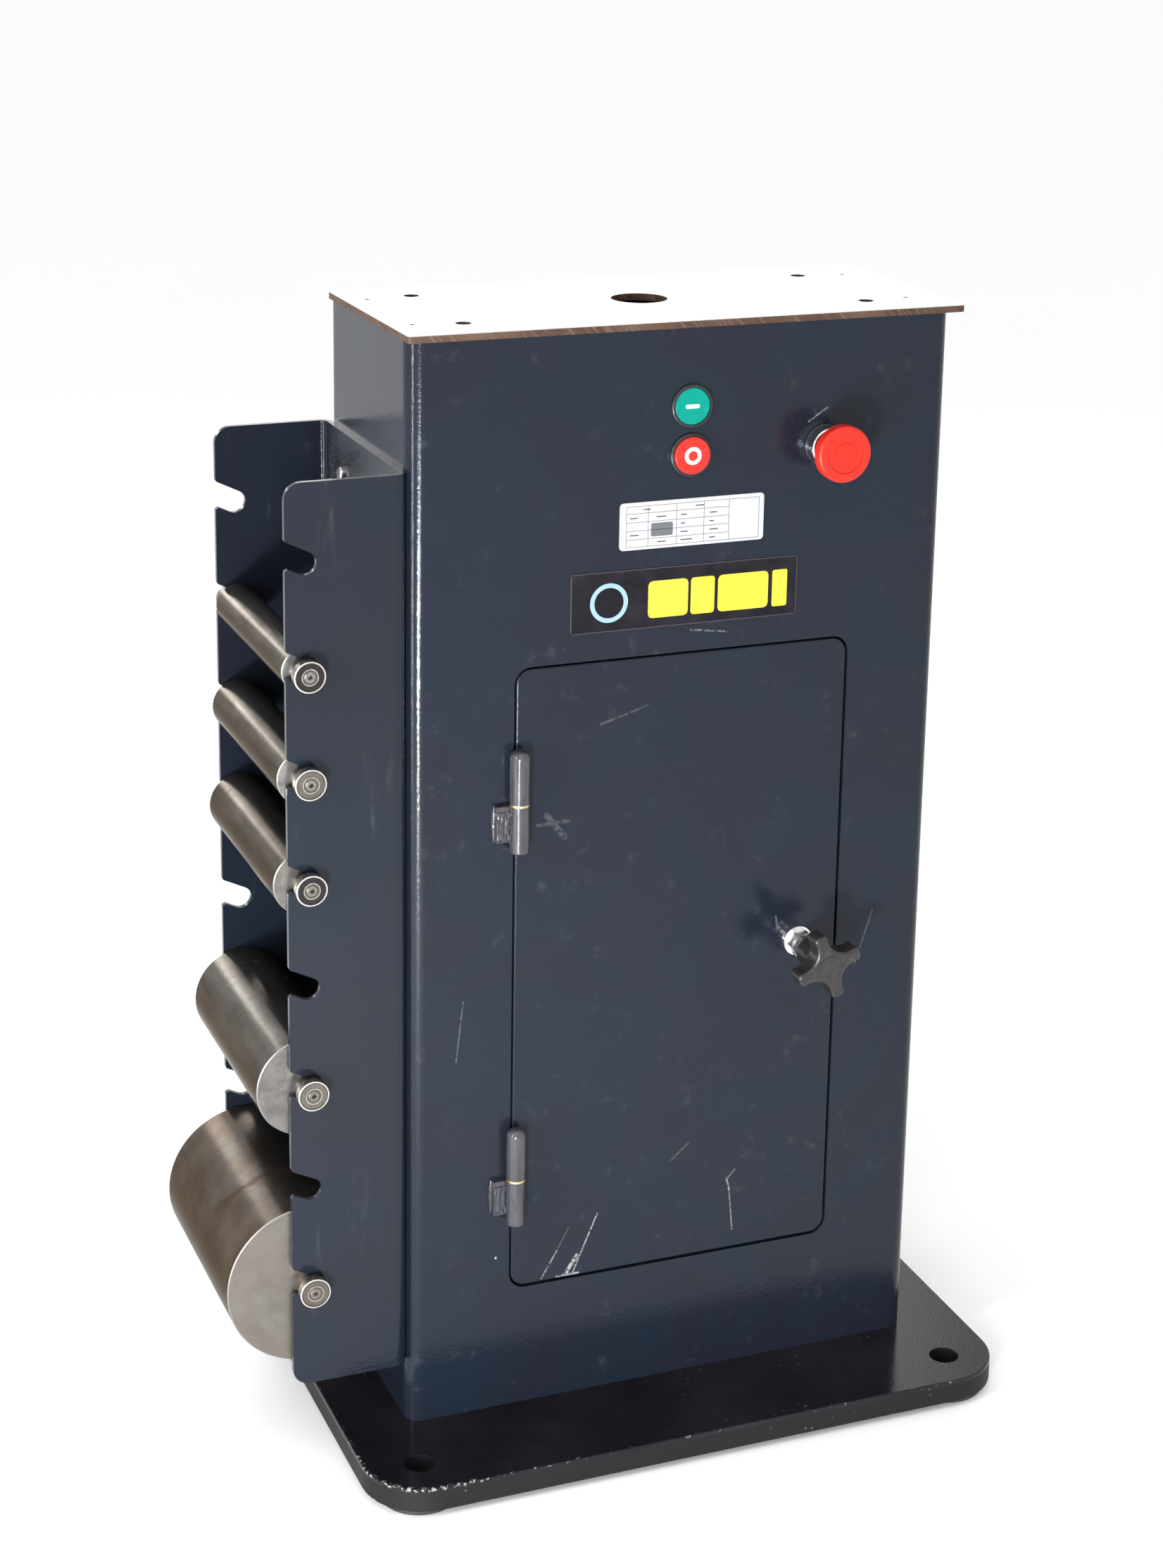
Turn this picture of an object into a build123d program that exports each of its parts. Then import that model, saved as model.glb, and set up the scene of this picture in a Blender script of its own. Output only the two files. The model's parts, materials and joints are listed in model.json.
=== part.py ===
"""Floor pedestal of a belt grinding machine: cabinet, base plate, door, controls and roller rack.

Frame: +X to the right seen from the front, +Y to the back, +Z up. The origin is on the floor under the
centre of the base plate. All sizes are millimetres.
"""

import os
from math import cos, radians, sin, tan

from build123d import *

os.makedirs("parts", exist_ok=True)

# ---------------------------------------------------------------- driving dimensions
CABINET_W = 400.0
CABINET_D = 180.0
CABINET_H = 790.0
SHEET = 2.0
BEND_R = 12.0

PAD_D = 59.0
PAD_T = 5.0
BASE_T = 18.0
BASE_SIDE = 47.5
BASE_END = 85.0
BASE_R = 45.0
ANCHOR_D = 22.0
ANCHOR_INSET_X = 39.0
ANCHOR_INSET_Y = 34.5
EDGE_R = 1.2

TOP_T = 5.0
TOP_OVERHANG = 10.0
HEAD_BOLT_D = 11.0
HEAD_BOLT_DX = 300.0
HEAD_BOLT_DY = 110.0
CABLE_HOLE_D = 40.0

REAR_T = 1.5
REAR_FLANGE = 20.0
REAR_SCREW_END = 39.5
REAR_SCREWS_A_SIDE = 4
GLAND_INSET = 90.0
GLAND_R = 10.0
GLAND_BORE_R = 5.0
ANGLE_LEG = 25.0
ANGLE_T = 3.0
RAIL_BOLT_Y = 50.0
SHELF_RISE = 16.0
SHELF_T = 1.5
SHELF_SKIRT = 15.0

DOOR_W = 250.0
DOOR_R = 11.0
DOOR_SHIFT = 2.5
DOOR_BOTTOM = 94.0
CONTROL_BAND = 230.0
DOOR_H = CABINET_H - DOOR_BOTTOM - CONTROL_BAND
DOOR_FLANGE = 14.0
DOOR_GAP = 1.5
FRAME_WALL = 1.5
FRAME_LIP = 9.0
SEAL_GAP = 1.1

HINGE_R = 7.0
HINGE_PIN_R = 4.0
HINGE_LOWER_L = 34.5
HINGE_UPPER_L = 38.5
HINGE_WASHER_T = 1.6
HINGE_LOW = 54.5
HINGE_HIGH = DOOR_H - 129.0
HINGE_PIN_IN = 21.0
HINGE_PIN_UP = 26.0
LUG_FRAME_W = 16.0
LUG_DOOR_W = 8.0
LUG_T = 5.0
LUG_H = 26.0

KNOB_INSET = 30.5
KNOB_ABOVE_MIDDLE = 6.0
KNOB_R = 25.0
KNOB_LOBES = 4
KNOB_PHASE = 19.5
KNOB_LOBE_T = 15.0
KNOB_STANDOFF = 22.0
KNOB_REACH = 55.0
SPINDLE_R = 5.0
BUSH_R = 7.5
BUSH_FLANGE_R = 11.0
BUSH_FLANGE_T = 2.0
NUT_AF = 17.0
NUT_L = 8.0
TONGUE_W = 16.0
TONGUE_L = 42.0
TONGUE_T = 4.0

CAP_R = 13.0
BEZEL_R = CAP_R + 2.2
BEZEL_H = 2.2
BUTTON_BODY_R = CAP_R + 0.9
LOCK_NUT_R = BEZEL_R + 1.2
LOCK_NUT_T = 6.0
CONTROL_ROW = 88.0
CONTROL_PITCH = 2 * LOCK_NUT_R + 1.2
BODY_DEPTH = 24.0
POCKET_DEPTH = 18.0
STEM_R = 4.0
BUTTON_TRAVEL = 3.0
SPRING_R = 7.0
SPRING_WIRE = 1.2
ESTOP_DX = 101.2
ESTOP_HEAD_R = 20.0
ESTOP_HEAD_REACH = 34.0
ESTOP_HEAD_L = 15.0
ESTOP_COLLAR_R = 14.2
ESTOP_COLLAR_L = 12.0
ESTOP_BODY_R = 11.0
ESTOP_STEM_R = 8.0
GASKET_T = 1.2
BLOCK_W = 28.0
BLOCK_H = 30.0
BLOCK_D = 30.0

CONTACTOR_W = 45.0
CONTACTOR_H = 75.0
CONTACTOR_D = 78.0
CONTACTOR_STEP = 20.0

PLATE_T = 0.8
DATA_PLATE_W = 108.0
DATA_PLATE_H = 33.5
DATA_PLATE_X = 4.8
DATA_PLATE_DROP = 135.3
NAME_PLATE_W = 170.0
NAME_PLATE_H = 42.5
NAME_PLATE_X = 1.0
NAME_PLATE_DROP = 187.2

RACK_REACH = 85.0
RACK_T = 4.0
RACK_BEND_R = 9.0
RACK_BOTTOM = 48.0
RACK_TOP_GAP = 87.0
RACK_CORNER_R = 12.0
RACK_BOLT_Y = 45.0
RACK_BOLT_LOW = 62.0
RACK_BOLT_HIGH = 30.0
NOTCHES = 8
NOTCH_END = 13.6
NOTCH_FIRST = 54.6
NOTCH_TAIL = 75.4
NOTCH_TILT = 26.0
NOTCH_LIP_R = 2.2
NECK_R = 8.0
ROLLERS = ((2, 30.0), (3, 38.0), (4, 45.0), (6, 72.0), (8, 118.0))

BEARING_R = 11.0
BEARING_BORE_R = 4.0
BEARING_W = 7.0
SEAL_R = BEARING_R - 1.6
SEAL_T = 0.8
INNER_RING_R = BEARING_BORE_R + 2.0
SHOULDER_R = BEARING_BORE_R + 1.6

# bolts: shank radius, and the heads that go with it
M5_R = 2.5
M6_R = 3.0
M8_R = 4.0
M5_HEAD_R = 4.7
M5_HEAD_H = 2.8
M6_HEAD_R = 5.25
M6_HEAD_H = 3.3
M6_SUNK_R = 6.0
M6_NUT_AF = 10.0
M6_NUT_H = 5.0
M8_HEAD_AF = 13.0
M8_HEAD_H = 5.3

# clearances, all on the radius or on one side
RUN_FIT = 0.05
BORE_FIT = 0.02
BOLT_PLAY = 0.3
FACE_GAP = 0.4
END_PLAY = 1.5

# ---------------------------------------------------------------- derived planes
BASE_W = CABINET_W + 2 * BASE_SIDE
BASE_D = CABINET_D + 2 * BASE_END
BASE_TOP = PAD_T + BASE_T
CAB_TOP = BASE_TOP + CABINET_H
LEFT = -CABINET_W / 2
RIGHT = CABINET_W / 2
FRONT = -CABINET_D / 2
BACK = CABINET_D / 2
SHELL_BACK = BACK - REAR_T
INNER_FRONT = FRONT + SHEET
FLANGE_INNER = SHELL_BACK - SHEET
RAIL_L = CABINET_D - REAR_T - 2 * BEND_R - 8.0

DOOR_BASE = BASE_TOP + DOOR_BOTTOM
DOOR_MID = DOOR_BASE + DOOR_H / 2
DOOR_LEFT = DOOR_SHIFT - DOOR_W / 2
DOOR_RIGHT = DOOR_SHIFT + DOOR_W / 2
DOOR_BACK = FRONT + DOOR_FLANGE
LIP_FRONT = DOOR_BACK + SEAL_GAP
LIP_BACK = LIP_FRONT + FRAME_WALL
SHELF_Z = DOOR_BASE + DOOR_H + SHELF_RISE

RAIL_BOLT_X = CABINET_W / 2 - SHEET - ANGLE_LEG / 2 - 1.5
REAR_SCREW_X = CABINET_W / 2 - BEND_R - REAR_FLANGE / 2
REAR_SCREW_PITCH = (CABINET_H - 2 * REAR_SCREW_END) / (REAR_SCREWS_A_SIDE - 1)
GLAND_X = RIGHT - GLAND_INSET
GLAND_Z = BASE_TOP + GLAND_INSET

HINGE_X = DOOR_LEFT + 0.3
HINGE_Y = FRONT - FACE_GAP - HINGE_R

KNOB_X = DOOR_RIGHT - KNOB_INSET
KNOB_Z = DOOR_MID + KNOB_ABOVE_MIDDLE
KNOB_BACK = FRONT - KNOB_STANDOFF
KNOB_FACE = FRONT - KNOB_REACH
TONGUE_FRONT = LIP_BACK + 0.5
TONGUE_BACK = TONGUE_FRONT + TONGUE_T

STOP_Z = CAB_TOP - CONTROL_ROW
START_Z = STOP_Z + CONTROL_PITCH
ESTOP_X = DOOR_SHIFT + ESTOP_DX
BODY_BACK = FRONT + BODY_DEPTH
CONTACTOR_Z = STOP_Z - 22.0

RACK_BASE = BASE_TOP + RACK_BOTTOM
RACK_TOP = CAB_TOP - RACK_TOP_GAP
RACK_H = RACK_TOP - RACK_BASE
RACK_LEFT = LEFT - RACK_REACH
NOTCH_X = RACK_LEFT + NOTCH_END
NOTCH_PITCH = (RACK_H - NOTCH_FIRST - NOTCH_TAIL) / (NOTCHES - 1)
SLOT_R = NECK_R + RUN_FIT
CHANNEL_L = RACK_REACH - 25.0

DRUM_END = BACK - RACK_T - END_PLAY
NECK_END = BACK + 3.5
BEARING_IN = NECK_END + 0.5
BEARING_OUT = BEARING_IN + BEARING_W


def notch_z(number):
    """Height of the pocket centre of a notch, counted from 1 at the top."""
    return RACK_TOP - NOTCH_FIRST - (number - 1) * NOTCH_PITCH


# ---------------------------------------------------------------- small helpers
def block(x0, x1, y0, y1, z0, z1):
    """Box between two corners."""
    middle = Pos((x0 + x1) / 2, (y0 + y1) / 2, (z0 + z1) / 2)
    return middle * Box(x1 - x0, y1 - y0, z1 - z0)


def rod_x(y, z, x0, x1, radius):
    """Cylinder along X."""
    return Pos((x0 + x1) / 2, y, z) * Rot(0, 90, 0) * Cylinder(radius, x1 - x0)


def rod_y(x, z, y0, y1, radius):
    """Cylinder along Y."""
    return Pos(x, (y0 + y1) / 2, z) * Rot(90, 0, 0) * Cylinder(radius, y1 - y0)


def rod_z(x, y, z0, z1, radius):
    """Cylinder along Z."""
    return Pos(x, y, (z0 + z1) / 2) * Cylinder(radius, z1 - z0)


def ring_y(x, z, y0, y1, outer, inner):
    """Hollow cylinder along Y."""
    return rod_y(x, z, y0, y1, outer) - rod_y(x, z, y0 - 1, y1 + 1, inner)


def facing(sketch, x, z, y0, y1):
    """Extrude a sketch drawn in X and Z from y0 to y1."""
    return Pos(x, y1, z) * Rot(90, 0, 0) * extrude(sketch, amount=y1 - y0)


def front_edges(part, y):
    """All edges of a part that lie in the plane at y."""
    return part.edges().filter_by_position(Axis.Y, y - 0.01, y + 0.01)


def hex_nut_y(x, z, y0, y1, across, bore):
    """Hexagon nut along Y."""
    outline = RegularPolygon(across / 2, 6, major_radius=False)
    return facing(outline, x, z, y0, y1) - rod_y(x, z, y0 - 1, y1 + 1, bore)


def hex_nut_x(y, z, x0, x1, across, bore):
    """Hexagon nut along X."""
    outline = RegularPolygon(across / 2, 6, major_radius=False)
    body = Pos(x0, y, z) * Rot(0, 90, 0) * extrude(outline, amount=x1 - x0)
    return body - rod_x(y, z, x0 - 1, x1 + 1, bore)


def four(dx, dy):
    """Corner positions of a rectangle about the centre line."""
    return [(sx * dx, sy * dy) for sx in (-1, 1) for sy in (-1, 1)]


CABINET_BOLTS = four(RAIL_BOLT_X, RAIL_BOLT_Y)
REAR_SCREWS = [
    (side * REAR_SCREW_X, BASE_TOP + REAR_SCREW_END + row * REAR_SCREW_PITCH)
    for side in (-1, 1)
    for row in range(REAR_SCREWS_A_SIDE)
]
RACK_BOLTS = [
    (side * RACK_BOLT_Y, z)
    for side in (-1, 1)
    for z in (RACK_BASE + RACK_BOLT_LOW, RACK_TOP - RACK_BOLT_HIGH)
]


def save(name, *solids):
    """Write one node."""
    shape = solids[0] if len(solids) == 1 else Compound(children=list(solids))
    export_step(shape, f"parts/{name}.step")


# ---------------------------------------------------------------- base
def build_base():
    """Base plate on four round pads, bolted to the cabinet's foot rails."""
    anchors = four(BASE_W / 2 - ANCHOR_INSET_X, BASE_D / 2 - ANCHOR_INSET_Y)
    plate = Pos(0, 0, PAD_T) * extrude(RectangleRounded(BASE_W, BASE_D, BASE_R), amount=BASE_T)
    rims = plate.faces().filter_by(Axis.Z).edges()
    plate = fillet(rims, EDGE_R)
    for x, y in anchors:
        plate -= rod_z(x, y, 0, BASE_TOP + 1, ANCHOR_D / 2)
    for x, y in CABINET_BOLTS:
        plate -= rod_z(x, y, BASE_TOP - 14, BASE_TOP + 1, M8_R + BORE_FIT)
    save("base_plate", plate)
    pads = []
    for x, y in anchors:
        pad = rod_z(x, y, 0, PAD_T, PAD_D / 2)
        pad = chamfer(pad.edges().group_by(Axis.Z)[0], 0.8)
        pads.append(pad - rod_z(x, y, -1, PAD_T + 1, ANCHOR_D / 2))
    save("foot_pads", *pads)



# ---------------------------------------------------------------- cabinet
def build_shell():
    """Bent sheet shell: front, sides and two return flanges, open at the back."""
    depth = CABINET_D - REAR_T
    middle_y = -REAR_T / 2
    section = RectangleRounded(CABINET_W, depth, BEND_R)
    section -= RectangleRounded(CABINET_W - 2 * SHEET, depth - 2 * SHEET, BEND_R - SHEET)
    back_gap = CABINET_W - 2 * (BEND_R + REAR_FLANGE)
    section -= Pos(0, depth / 2) * Rectangle(back_gap, 4 * BEND_R)
    shell = Pos(0, middle_y, BASE_TOP) * extrude(section, amount=CABINET_H)
    opening = RectangleRounded(DOOR_W + 2 * DOOR_GAP, DOOR_H + 2 * DOOR_GAP, DOOR_R + DOOR_GAP)
    shell -= facing(opening, DOOR_SHIFT, DOOR_MID, FRONT - 1, INNER_FRONT + 1)
    for z in (START_Z, STOP_Z):
        shell -= rod_y(DOOR_SHIFT, z, FRONT - 1, INNER_FRONT + 1, BUTTON_BODY_R + BOLT_PLAY)
    shell -= rod_y(ESTOP_X, STOP_Z, FRONT - 1, INNER_FRONT + 1, ESTOP_BODY_R + BOLT_PLAY)
    for y, z in RACK_BOLTS:
        shell -= rod_x(y, z, LEFT - 1, LEFT + SHEET + 1, M6_R + BOLT_PLAY)
    for x, z in REAR_SCREWS:
        shell -= rod_y(x, z, FLANGE_INNER - 1, SHELL_BACK + 1, M5_R + BORE_FIT)
    save("cabinet_shell", shell)


def build_rails():
    """Angle rails inside the shell, two at the foot and two under the top plate."""
    rails = []
    for side in (-1, 1):
        outer = side * (CABINET_W / 2 - SHEET)
        for z_end, up in ((BASE_TOP, 1), (CAB_TOP, -1)):
            wall = sorted((outer, outer - side * ANGLE_T))
            leg = sorted((outer, outer - side * ANGLE_LEG))
            tall = sorted((z_end, z_end + up * ANGLE_LEG))
            flat = sorted((z_end, z_end + up * ANGLE_T))
            half = RAIL_L / 2
            rail = block(*wall, -half, half, *tall) + block(*leg, -half, half, *flat)
            for y in (-RAIL_BOLT_Y, RAIL_BOLT_Y):
                bolt_r = M8_R + BOLT_PLAY if up > 0 else M6_R + BORE_FIT
                rail -= rod_z(side * RAIL_BOLT_X, y, flat[0] - 1, flat[1] + 1, bolt_r)
            rails.append(rail)
    save("shell_rails", *rails)
    bolts = []
    for x, y in CABINET_BOLTS:
        head_z = BASE_TOP + ANGLE_T
        hexagon = RegularPolygon(M8_HEAD_AF / 2, 6, major_radius=False)
        head = Pos(x, y, head_z) * extrude(hexagon, amount=M8_HEAD_H)
        bolts.append(head + rod_z(x, y, BASE_TOP - 13, head_z, M8_R))
    save("cabinet_bolts", *bolts)



def build_back():
    """Flat rear panel, its screws and the cable gland."""
    width = CABINET_W - 2 * BEND_R - 2
    outline = RectangleRounded(width, CABINET_H - 2, 4)
    panel = facing(outline, 0, BASE_TOP + CABINET_H / 2, SHELL_BACK, BACK)
    screws = []
    for x, z in REAR_SCREWS:
        panel -= rod_y(x, z, SHELL_BACK - 1, BACK + 1, M5_R + BOLT_PLAY)
        head = rod_y(x, z, BACK, BACK + M5_HEAD_H, M5_HEAD_R)
        head = fillet(head.edges().group_by(Axis.Y)[-1], 1.6)
        cross_y = (BACK + M5_HEAD_H - 1.2, BACK + M5_HEAD_H + 1)
        head -= block(x - 3, x + 3, *cross_y, z - 0.6, z + 0.6)
        head -= block(x - 0.6, x + 0.6, *cross_y, z - 3, z + 3)
        screws.append(head + rod_y(x, z, SHELL_BACK - 8, BACK, M5_R))
    panel -= rod_y(GLAND_X, GLAND_Z, SHELL_BACK - 1, BACK + 1, GLAND_R + BOLT_PLAY)
    save("rear_panel", panel)
    save("rear_panel_screws", *screws)
    gland_af = 2.6 * GLAND_R
    hex_end = BACK + 6
    cap_end = BACK + 20
    gland = rod_y(GLAND_X, GLAND_Z, SHELL_BACK - 10, hex_end, GLAND_R)
    hexagon = RegularPolygon(gland_af / 2, 6, major_radius=False)
    gland += facing(hexagon, GLAND_X, GLAND_Z, BACK, hex_end)
    cap = rod_y(GLAND_X, GLAND_Z, hex_end, cap_end, GLAND_R + 1.5)
    cap = fillet(cap.edges().group_by(Axis.Y)[-1], 4)
    bore = rod_y(GLAND_X, GLAND_Z, SHELL_BACK - 11, cap_end + 1, GLAND_BORE_R)
    gland = gland + cap - bore
    nut = hex_nut_y(GLAND_X, GLAND_Z, SHELL_BACK - 5, SHELL_BACK, gland_af, GLAND_R + BORE_FIT)
    save("cable_gland", gland, nut)


def build_top():
    """Top plate that carries the machine head, with four countersunk screws."""
    plate = block(LEFT, RIGHT + TOP_OVERHANG, FRONT, BACK, CAB_TOP, CAB_TOP + TOP_T)
    plate = fillet(plate.edges().filter_by(Axis.Z), 2.0)
    plate = chamfer(plate.edges().group_by(Axis.Z)[-1], 0.5)
    face = CAB_TOP + TOP_T
    for x, y in four(HEAD_BOLT_DX / 2, HEAD_BOLT_DY / 2):
        plate -= rod_z(x, y, CAB_TOP - 1, face + 1, HEAD_BOLT_D / 2)
    plate -= rod_z(0, 0, CAB_TOP - 1, face + 1, CABLE_HOLE_D / 2)
    screws = []
    head_l = M6_SUNK_R - M6_R
    for x, y in CABINET_BOLTS:
        cone = Pos(x, y, face - head_l / 2 - 0.1) * Cone(M6_R, M6_SUNK_R, head_l)
        seat_cone = Cone(M6_R + BOLT_PLAY, M6_SUNK_R + BOLT_PLAY, head_l)
        plate -= Pos(x, y, face - head_l / 2) * seat_cone
        plate -= rod_z(x, y, CAB_TOP - 1, face, M6_R + BOLT_PLAY)
        screw = cone + rod_z(x, y, CAB_TOP - 8, face - head_l, M6_R)
        socket = Pos(x, y, face - 2) * extrude(RegularPolygon(2, 6), amount=3)
        screws.append(screw - socket)
    save("top_plate", plate)
    save("top_plate_screws", *screws)


# ---------------------------------------------------------------- inside the cabinet
def build_inside():
    """Partition shelf under the electrics, and the motor contactor on the rear panel."""
    outer = CABINET_W / 2 - SHEET
    inner = outer - SHELF_T
    y0 = FRONT + BEND_R + 2
    y1 = SHELL_BACK - BEND_R - 2
    shelf = block(-outer, outer, y0, y1, SHELF_Z - SHELF_SKIRT, SHELF_Z)
    shelf -= block(-inner, inner, y0 - 1, y1 + 1, SHELF_Z - SHELF_SKIRT - 1, SHELF_Z - SHELF_T)
    save("partition_shelf", shelf)
    front = SHELL_BACK - CONTACTOR_D
    step = front + CONTACTOR_STEP
    half_w = CONTACTOR_W / 2
    half_h = CONTACTOR_H / 2
    nose_h = CONTACTOR_STEP
    body = block(-half_w, half_w, step, SHELL_BACK, CONTACTOR_Z - half_h, CONTACTOR_Z + half_h)
    body += block(-half_w, half_w, front, step, CONTACTOR_Z - nose_h, CONTACTOR_Z + nose_h)
    body = chamfer(body.edges().filter_by(Axis.Z), 1.0)
    for x in (-14, 0, 14):
        for z in (CONTACTOR_Z - half_h + 6.5, CONTACTOR_Z + half_h - 6.5):
            body -= rod_y(x, z, step - 1, step + 8, 3.5)
    save("contactor", body)


# ---------------------------------------------------------------- door and hinges
def build_door():
    """Pan-shaped door with a hole for the knob's bush."""
    pan = facing(RectangleRounded(DOOR_W, DOOR_H, DOOR_R), DOOR_SHIFT, DOOR_MID, FRONT, DOOR_BACK)
    pan = fillet(front_edges(pan, FRONT), 1.5)
    hollow = RectangleRounded(DOOR_W - 2 * SHEET, DOOR_H - 2 * SHEET, DOOR_R - SHEET)
    pan -= facing(hollow, DOOR_SHIFT, DOOR_MID, INNER_FRONT, DOOR_BACK + 1)
    pan -= rod_y(KNOB_X, KNOB_Z, FRONT - 1, INNER_FRONT + 1, BUSH_R + BOLT_PLAY)
    save("door_panel", pan)
    inner_w = DOOR_W + 2 * DOOR_GAP
    inner_h = DOOR_H + 2 * DOOR_GAP
    inner_r = DOOR_R + DOOR_GAP
    walls = 2 * FRAME_WALL
    opening = RectangleRounded(inner_w, inner_h, inner_r)
    outside = RectangleRounded(inner_w + walls, inner_h + walls, inner_r + FRAME_WALL)
    window = RectangleRounded(DOOR_W - 2 * FRAME_LIP, DOOR_H - 2 * FRAME_LIP, 6)
    frame = facing(outside - opening, DOOR_SHIFT, DOOR_MID, INNER_FRONT, LIP_BACK)
    frame += facing(outside - window, DOOR_SHIFT, DOOR_MID, LIP_FRONT, LIP_BACK)
    save("door_frame", frame)


def build_hinges():
    """Two lift-off weld hinges: lower halves on the shell, upper halves on the door."""
    lower, upper, pins, washers = [], [], [], []
    lug_front = FRONT - LUG_T
    for foot in (DOOR_BASE + HINGE_LOW, DOOR_BASE + HINGE_HIGH):
        split = foot + HINGE_LOWER_L
        seat = split + HINGE_WASHER_T
        top = seat + HINGE_UPPER_L
        barrel = rod_z(HINGE_X, HINGE_Y, foot, split, HINGE_R)
        barrel = fillet(barrel.edges().group_by(Axis.Z)[0], 1.5)
        lug_z = (split - LUG_H - 1, split - 1)
        lug = block(HINGE_X - LUG_FRAME_W, HINGE_X - 1, lug_front, FRONT, *lug_z)
        pin_foot = split - HINGE_PIN_IN
        pin_top = split + HINGE_PIN_UP
        bore = rod_z(HINGE_X, HINGE_Y, pin_foot - 1, split + 1, HINGE_PIN_R + BORE_FIT)
        lower.append(barrel + lug - bore)
        pins.append(rod_z(HINGE_X, HINGE_Y, pin_foot, pin_top, HINGE_PIN_R))
        washer = rod_z(HINGE_X, HINGE_Y, split, seat - 0.1, HINGE_R)
        washers.append(washer - rod_z(HINGE_X, HINGE_Y, split - 1, seat, HINGE_PIN_R + RUN_FIT))
        cap = rod_z(HINGE_X, HINGE_Y, seat, top, HINGE_R)
        cap = fillet(cap.edges().group_by(Axis.Z)[-1], HINGE_R - 1.5)
        lug = block(HINGE_X + 1, HINGE_X + LUG_DOOR_W, lug_front, FRONT, seat + 1, seat + LUG_H)
        bore = rod_z(HINGE_X, HINGE_Y, seat - 1, pin_top + 2, HINGE_PIN_R + RUN_FIT)
        upper.append(cap + lug - bore)
    save("hinge_frame_halves", *lower)
    save("hinge_door_halves", *upper)
    save("hinge_pins", *pins)
    save("hinge_washers", *washers)



def knob_outline():
    """Cross grip outline: a disc with a round valley between each pair of lobes."""
    outline = Circle(KNOB_R)
    step = 360 / KNOB_LOBES
    for number in range(KNOB_LOBES):
        angle = radians(KNOB_PHASE + (number + 0.5) * step)
        reach = KNOB_R * 1.06
        outline -= Pos(reach * cos(angle), reach * sin(angle)) * Circle(KNOB_R * 0.56)
    return fillet(outline.vertices(), KNOB_R * 0.13)


def build_latch():
    """Cross knob on a spindle through a bush in the door, with a tongue behind the frame lip."""
    lobe_back = KNOB_FACE + KNOB_LOBE_T
    grip = facing(knob_outline(), KNOB_X, KNOB_Z, KNOB_FACE, lobe_back)
    grip = fillet(front_edges(grip, KNOB_FACE), 2.2)
    grip = fillet(front_edges(grip, lobe_back), 1.2)
    hub = rod_y(KNOB_X, KNOB_Z, lobe_back - 4, KNOB_BACK, KNOB_R * 0.44)
    dome_l = KNOB_REACH - KNOB_STANDOFF - 10.6
    dome_mid = KNOB_FACE + dome_l / 2 - 0.6
    dome = Pos(KNOB_X, dome_mid, KNOB_Z) * Rot(90, 0, 0) * Cone(KNOB_R * 0.46, KNOB_R * 0.34, dome_l)
    blind = rod_y(KNOB_X, KNOB_Z, KNOB_FACE + 8, KNOB_BACK + 1, SPINDLE_R + BORE_FIT)
    save("star_knob", grip + hub + dome - blind)
    spindle_end = TONGUE_BACK + NUT_L + 2
    spindle = rod_y(KNOB_X, KNOB_Z, KNOB_FACE + 9, spindle_end, SPINDLE_R)
    save("knob_spindle", chamfer(spindle.edges().group_by(Axis.Y)[-1], 0.8))
    flange_y = FRONT - BUSH_FLANGE_T
    bush_nut_t = 5.0
    hexagon = RegularPolygon(NUT_AF / 2, 6, major_radius=False)
    bush = rod_y(KNOB_X, KNOB_Z, flange_y, FRONT, BUSH_FLANGE_R)
    bush += facing(hexagon, KNOB_X, KNOB_Z, flange_y - NUT_L, flange_y)
    bush += rod_y(KNOB_X, KNOB_Z, flange_y, INNER_FRONT + bush_nut_t + 2.5, BUSH_R)
    bush -= rod_y(KNOB_X, KNOB_Z, FRONT - 20, FRONT + 20, SPINDLE_R + RUN_FIT)
    nut_y = (INNER_FRONT, INNER_FRONT + bush_nut_t)
    bush_nut = hex_nut_y(KNOB_X, KNOB_Z, *nut_y, BUSH_FLANGE_R * 2 - 1, BUSH_R + BORE_FIT)
    save("spindle_bush", bush, bush_nut)
    tongue_z = KNOB_Z + TONGUE_L / 2 - 11
    tongue = facing(Rectangle(TONGUE_W, TONGUE_L), KNOB_X, tongue_z, TONGUE_FRONT, TONGUE_BACK)
    tongue = fillet(tongue.edges().filter_by(Axis.Y), 5)
    tongue -= rod_y(KNOB_X, KNOB_Z, TONGUE_FRONT - 1, TONGUE_BACK + 1, SPINDLE_R + BORE_FIT)
    save("latch_tongue", tongue)
    nuts = [
        hex_nut_y(KNOB_X, KNOB_Z, y, y + NUT_L, NUT_AF, SPINDLE_R + BORE_FIT)
        for y in (KNOB_BACK, TONGUE_BACK)
    ]
    save("spindle_nuts", *nuts)


# ---------------------------------------------------------------- controls
def spring_y(x, z, y0, y1, radius, wire, turns):
    """Coil spring along Y."""
    length = y1 - y0 - wire
    path = Helix(pitch=length / turns, height=length, radius=radius)
    profile = Plane(origin=path @ 0, z_dir=path % 0) * Circle(wire / 2)
    coil = sweep(profile, path=path)
    return Pos(x, y1 - wire / 2, z) * Rot(90, 0, 0) * coil


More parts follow.
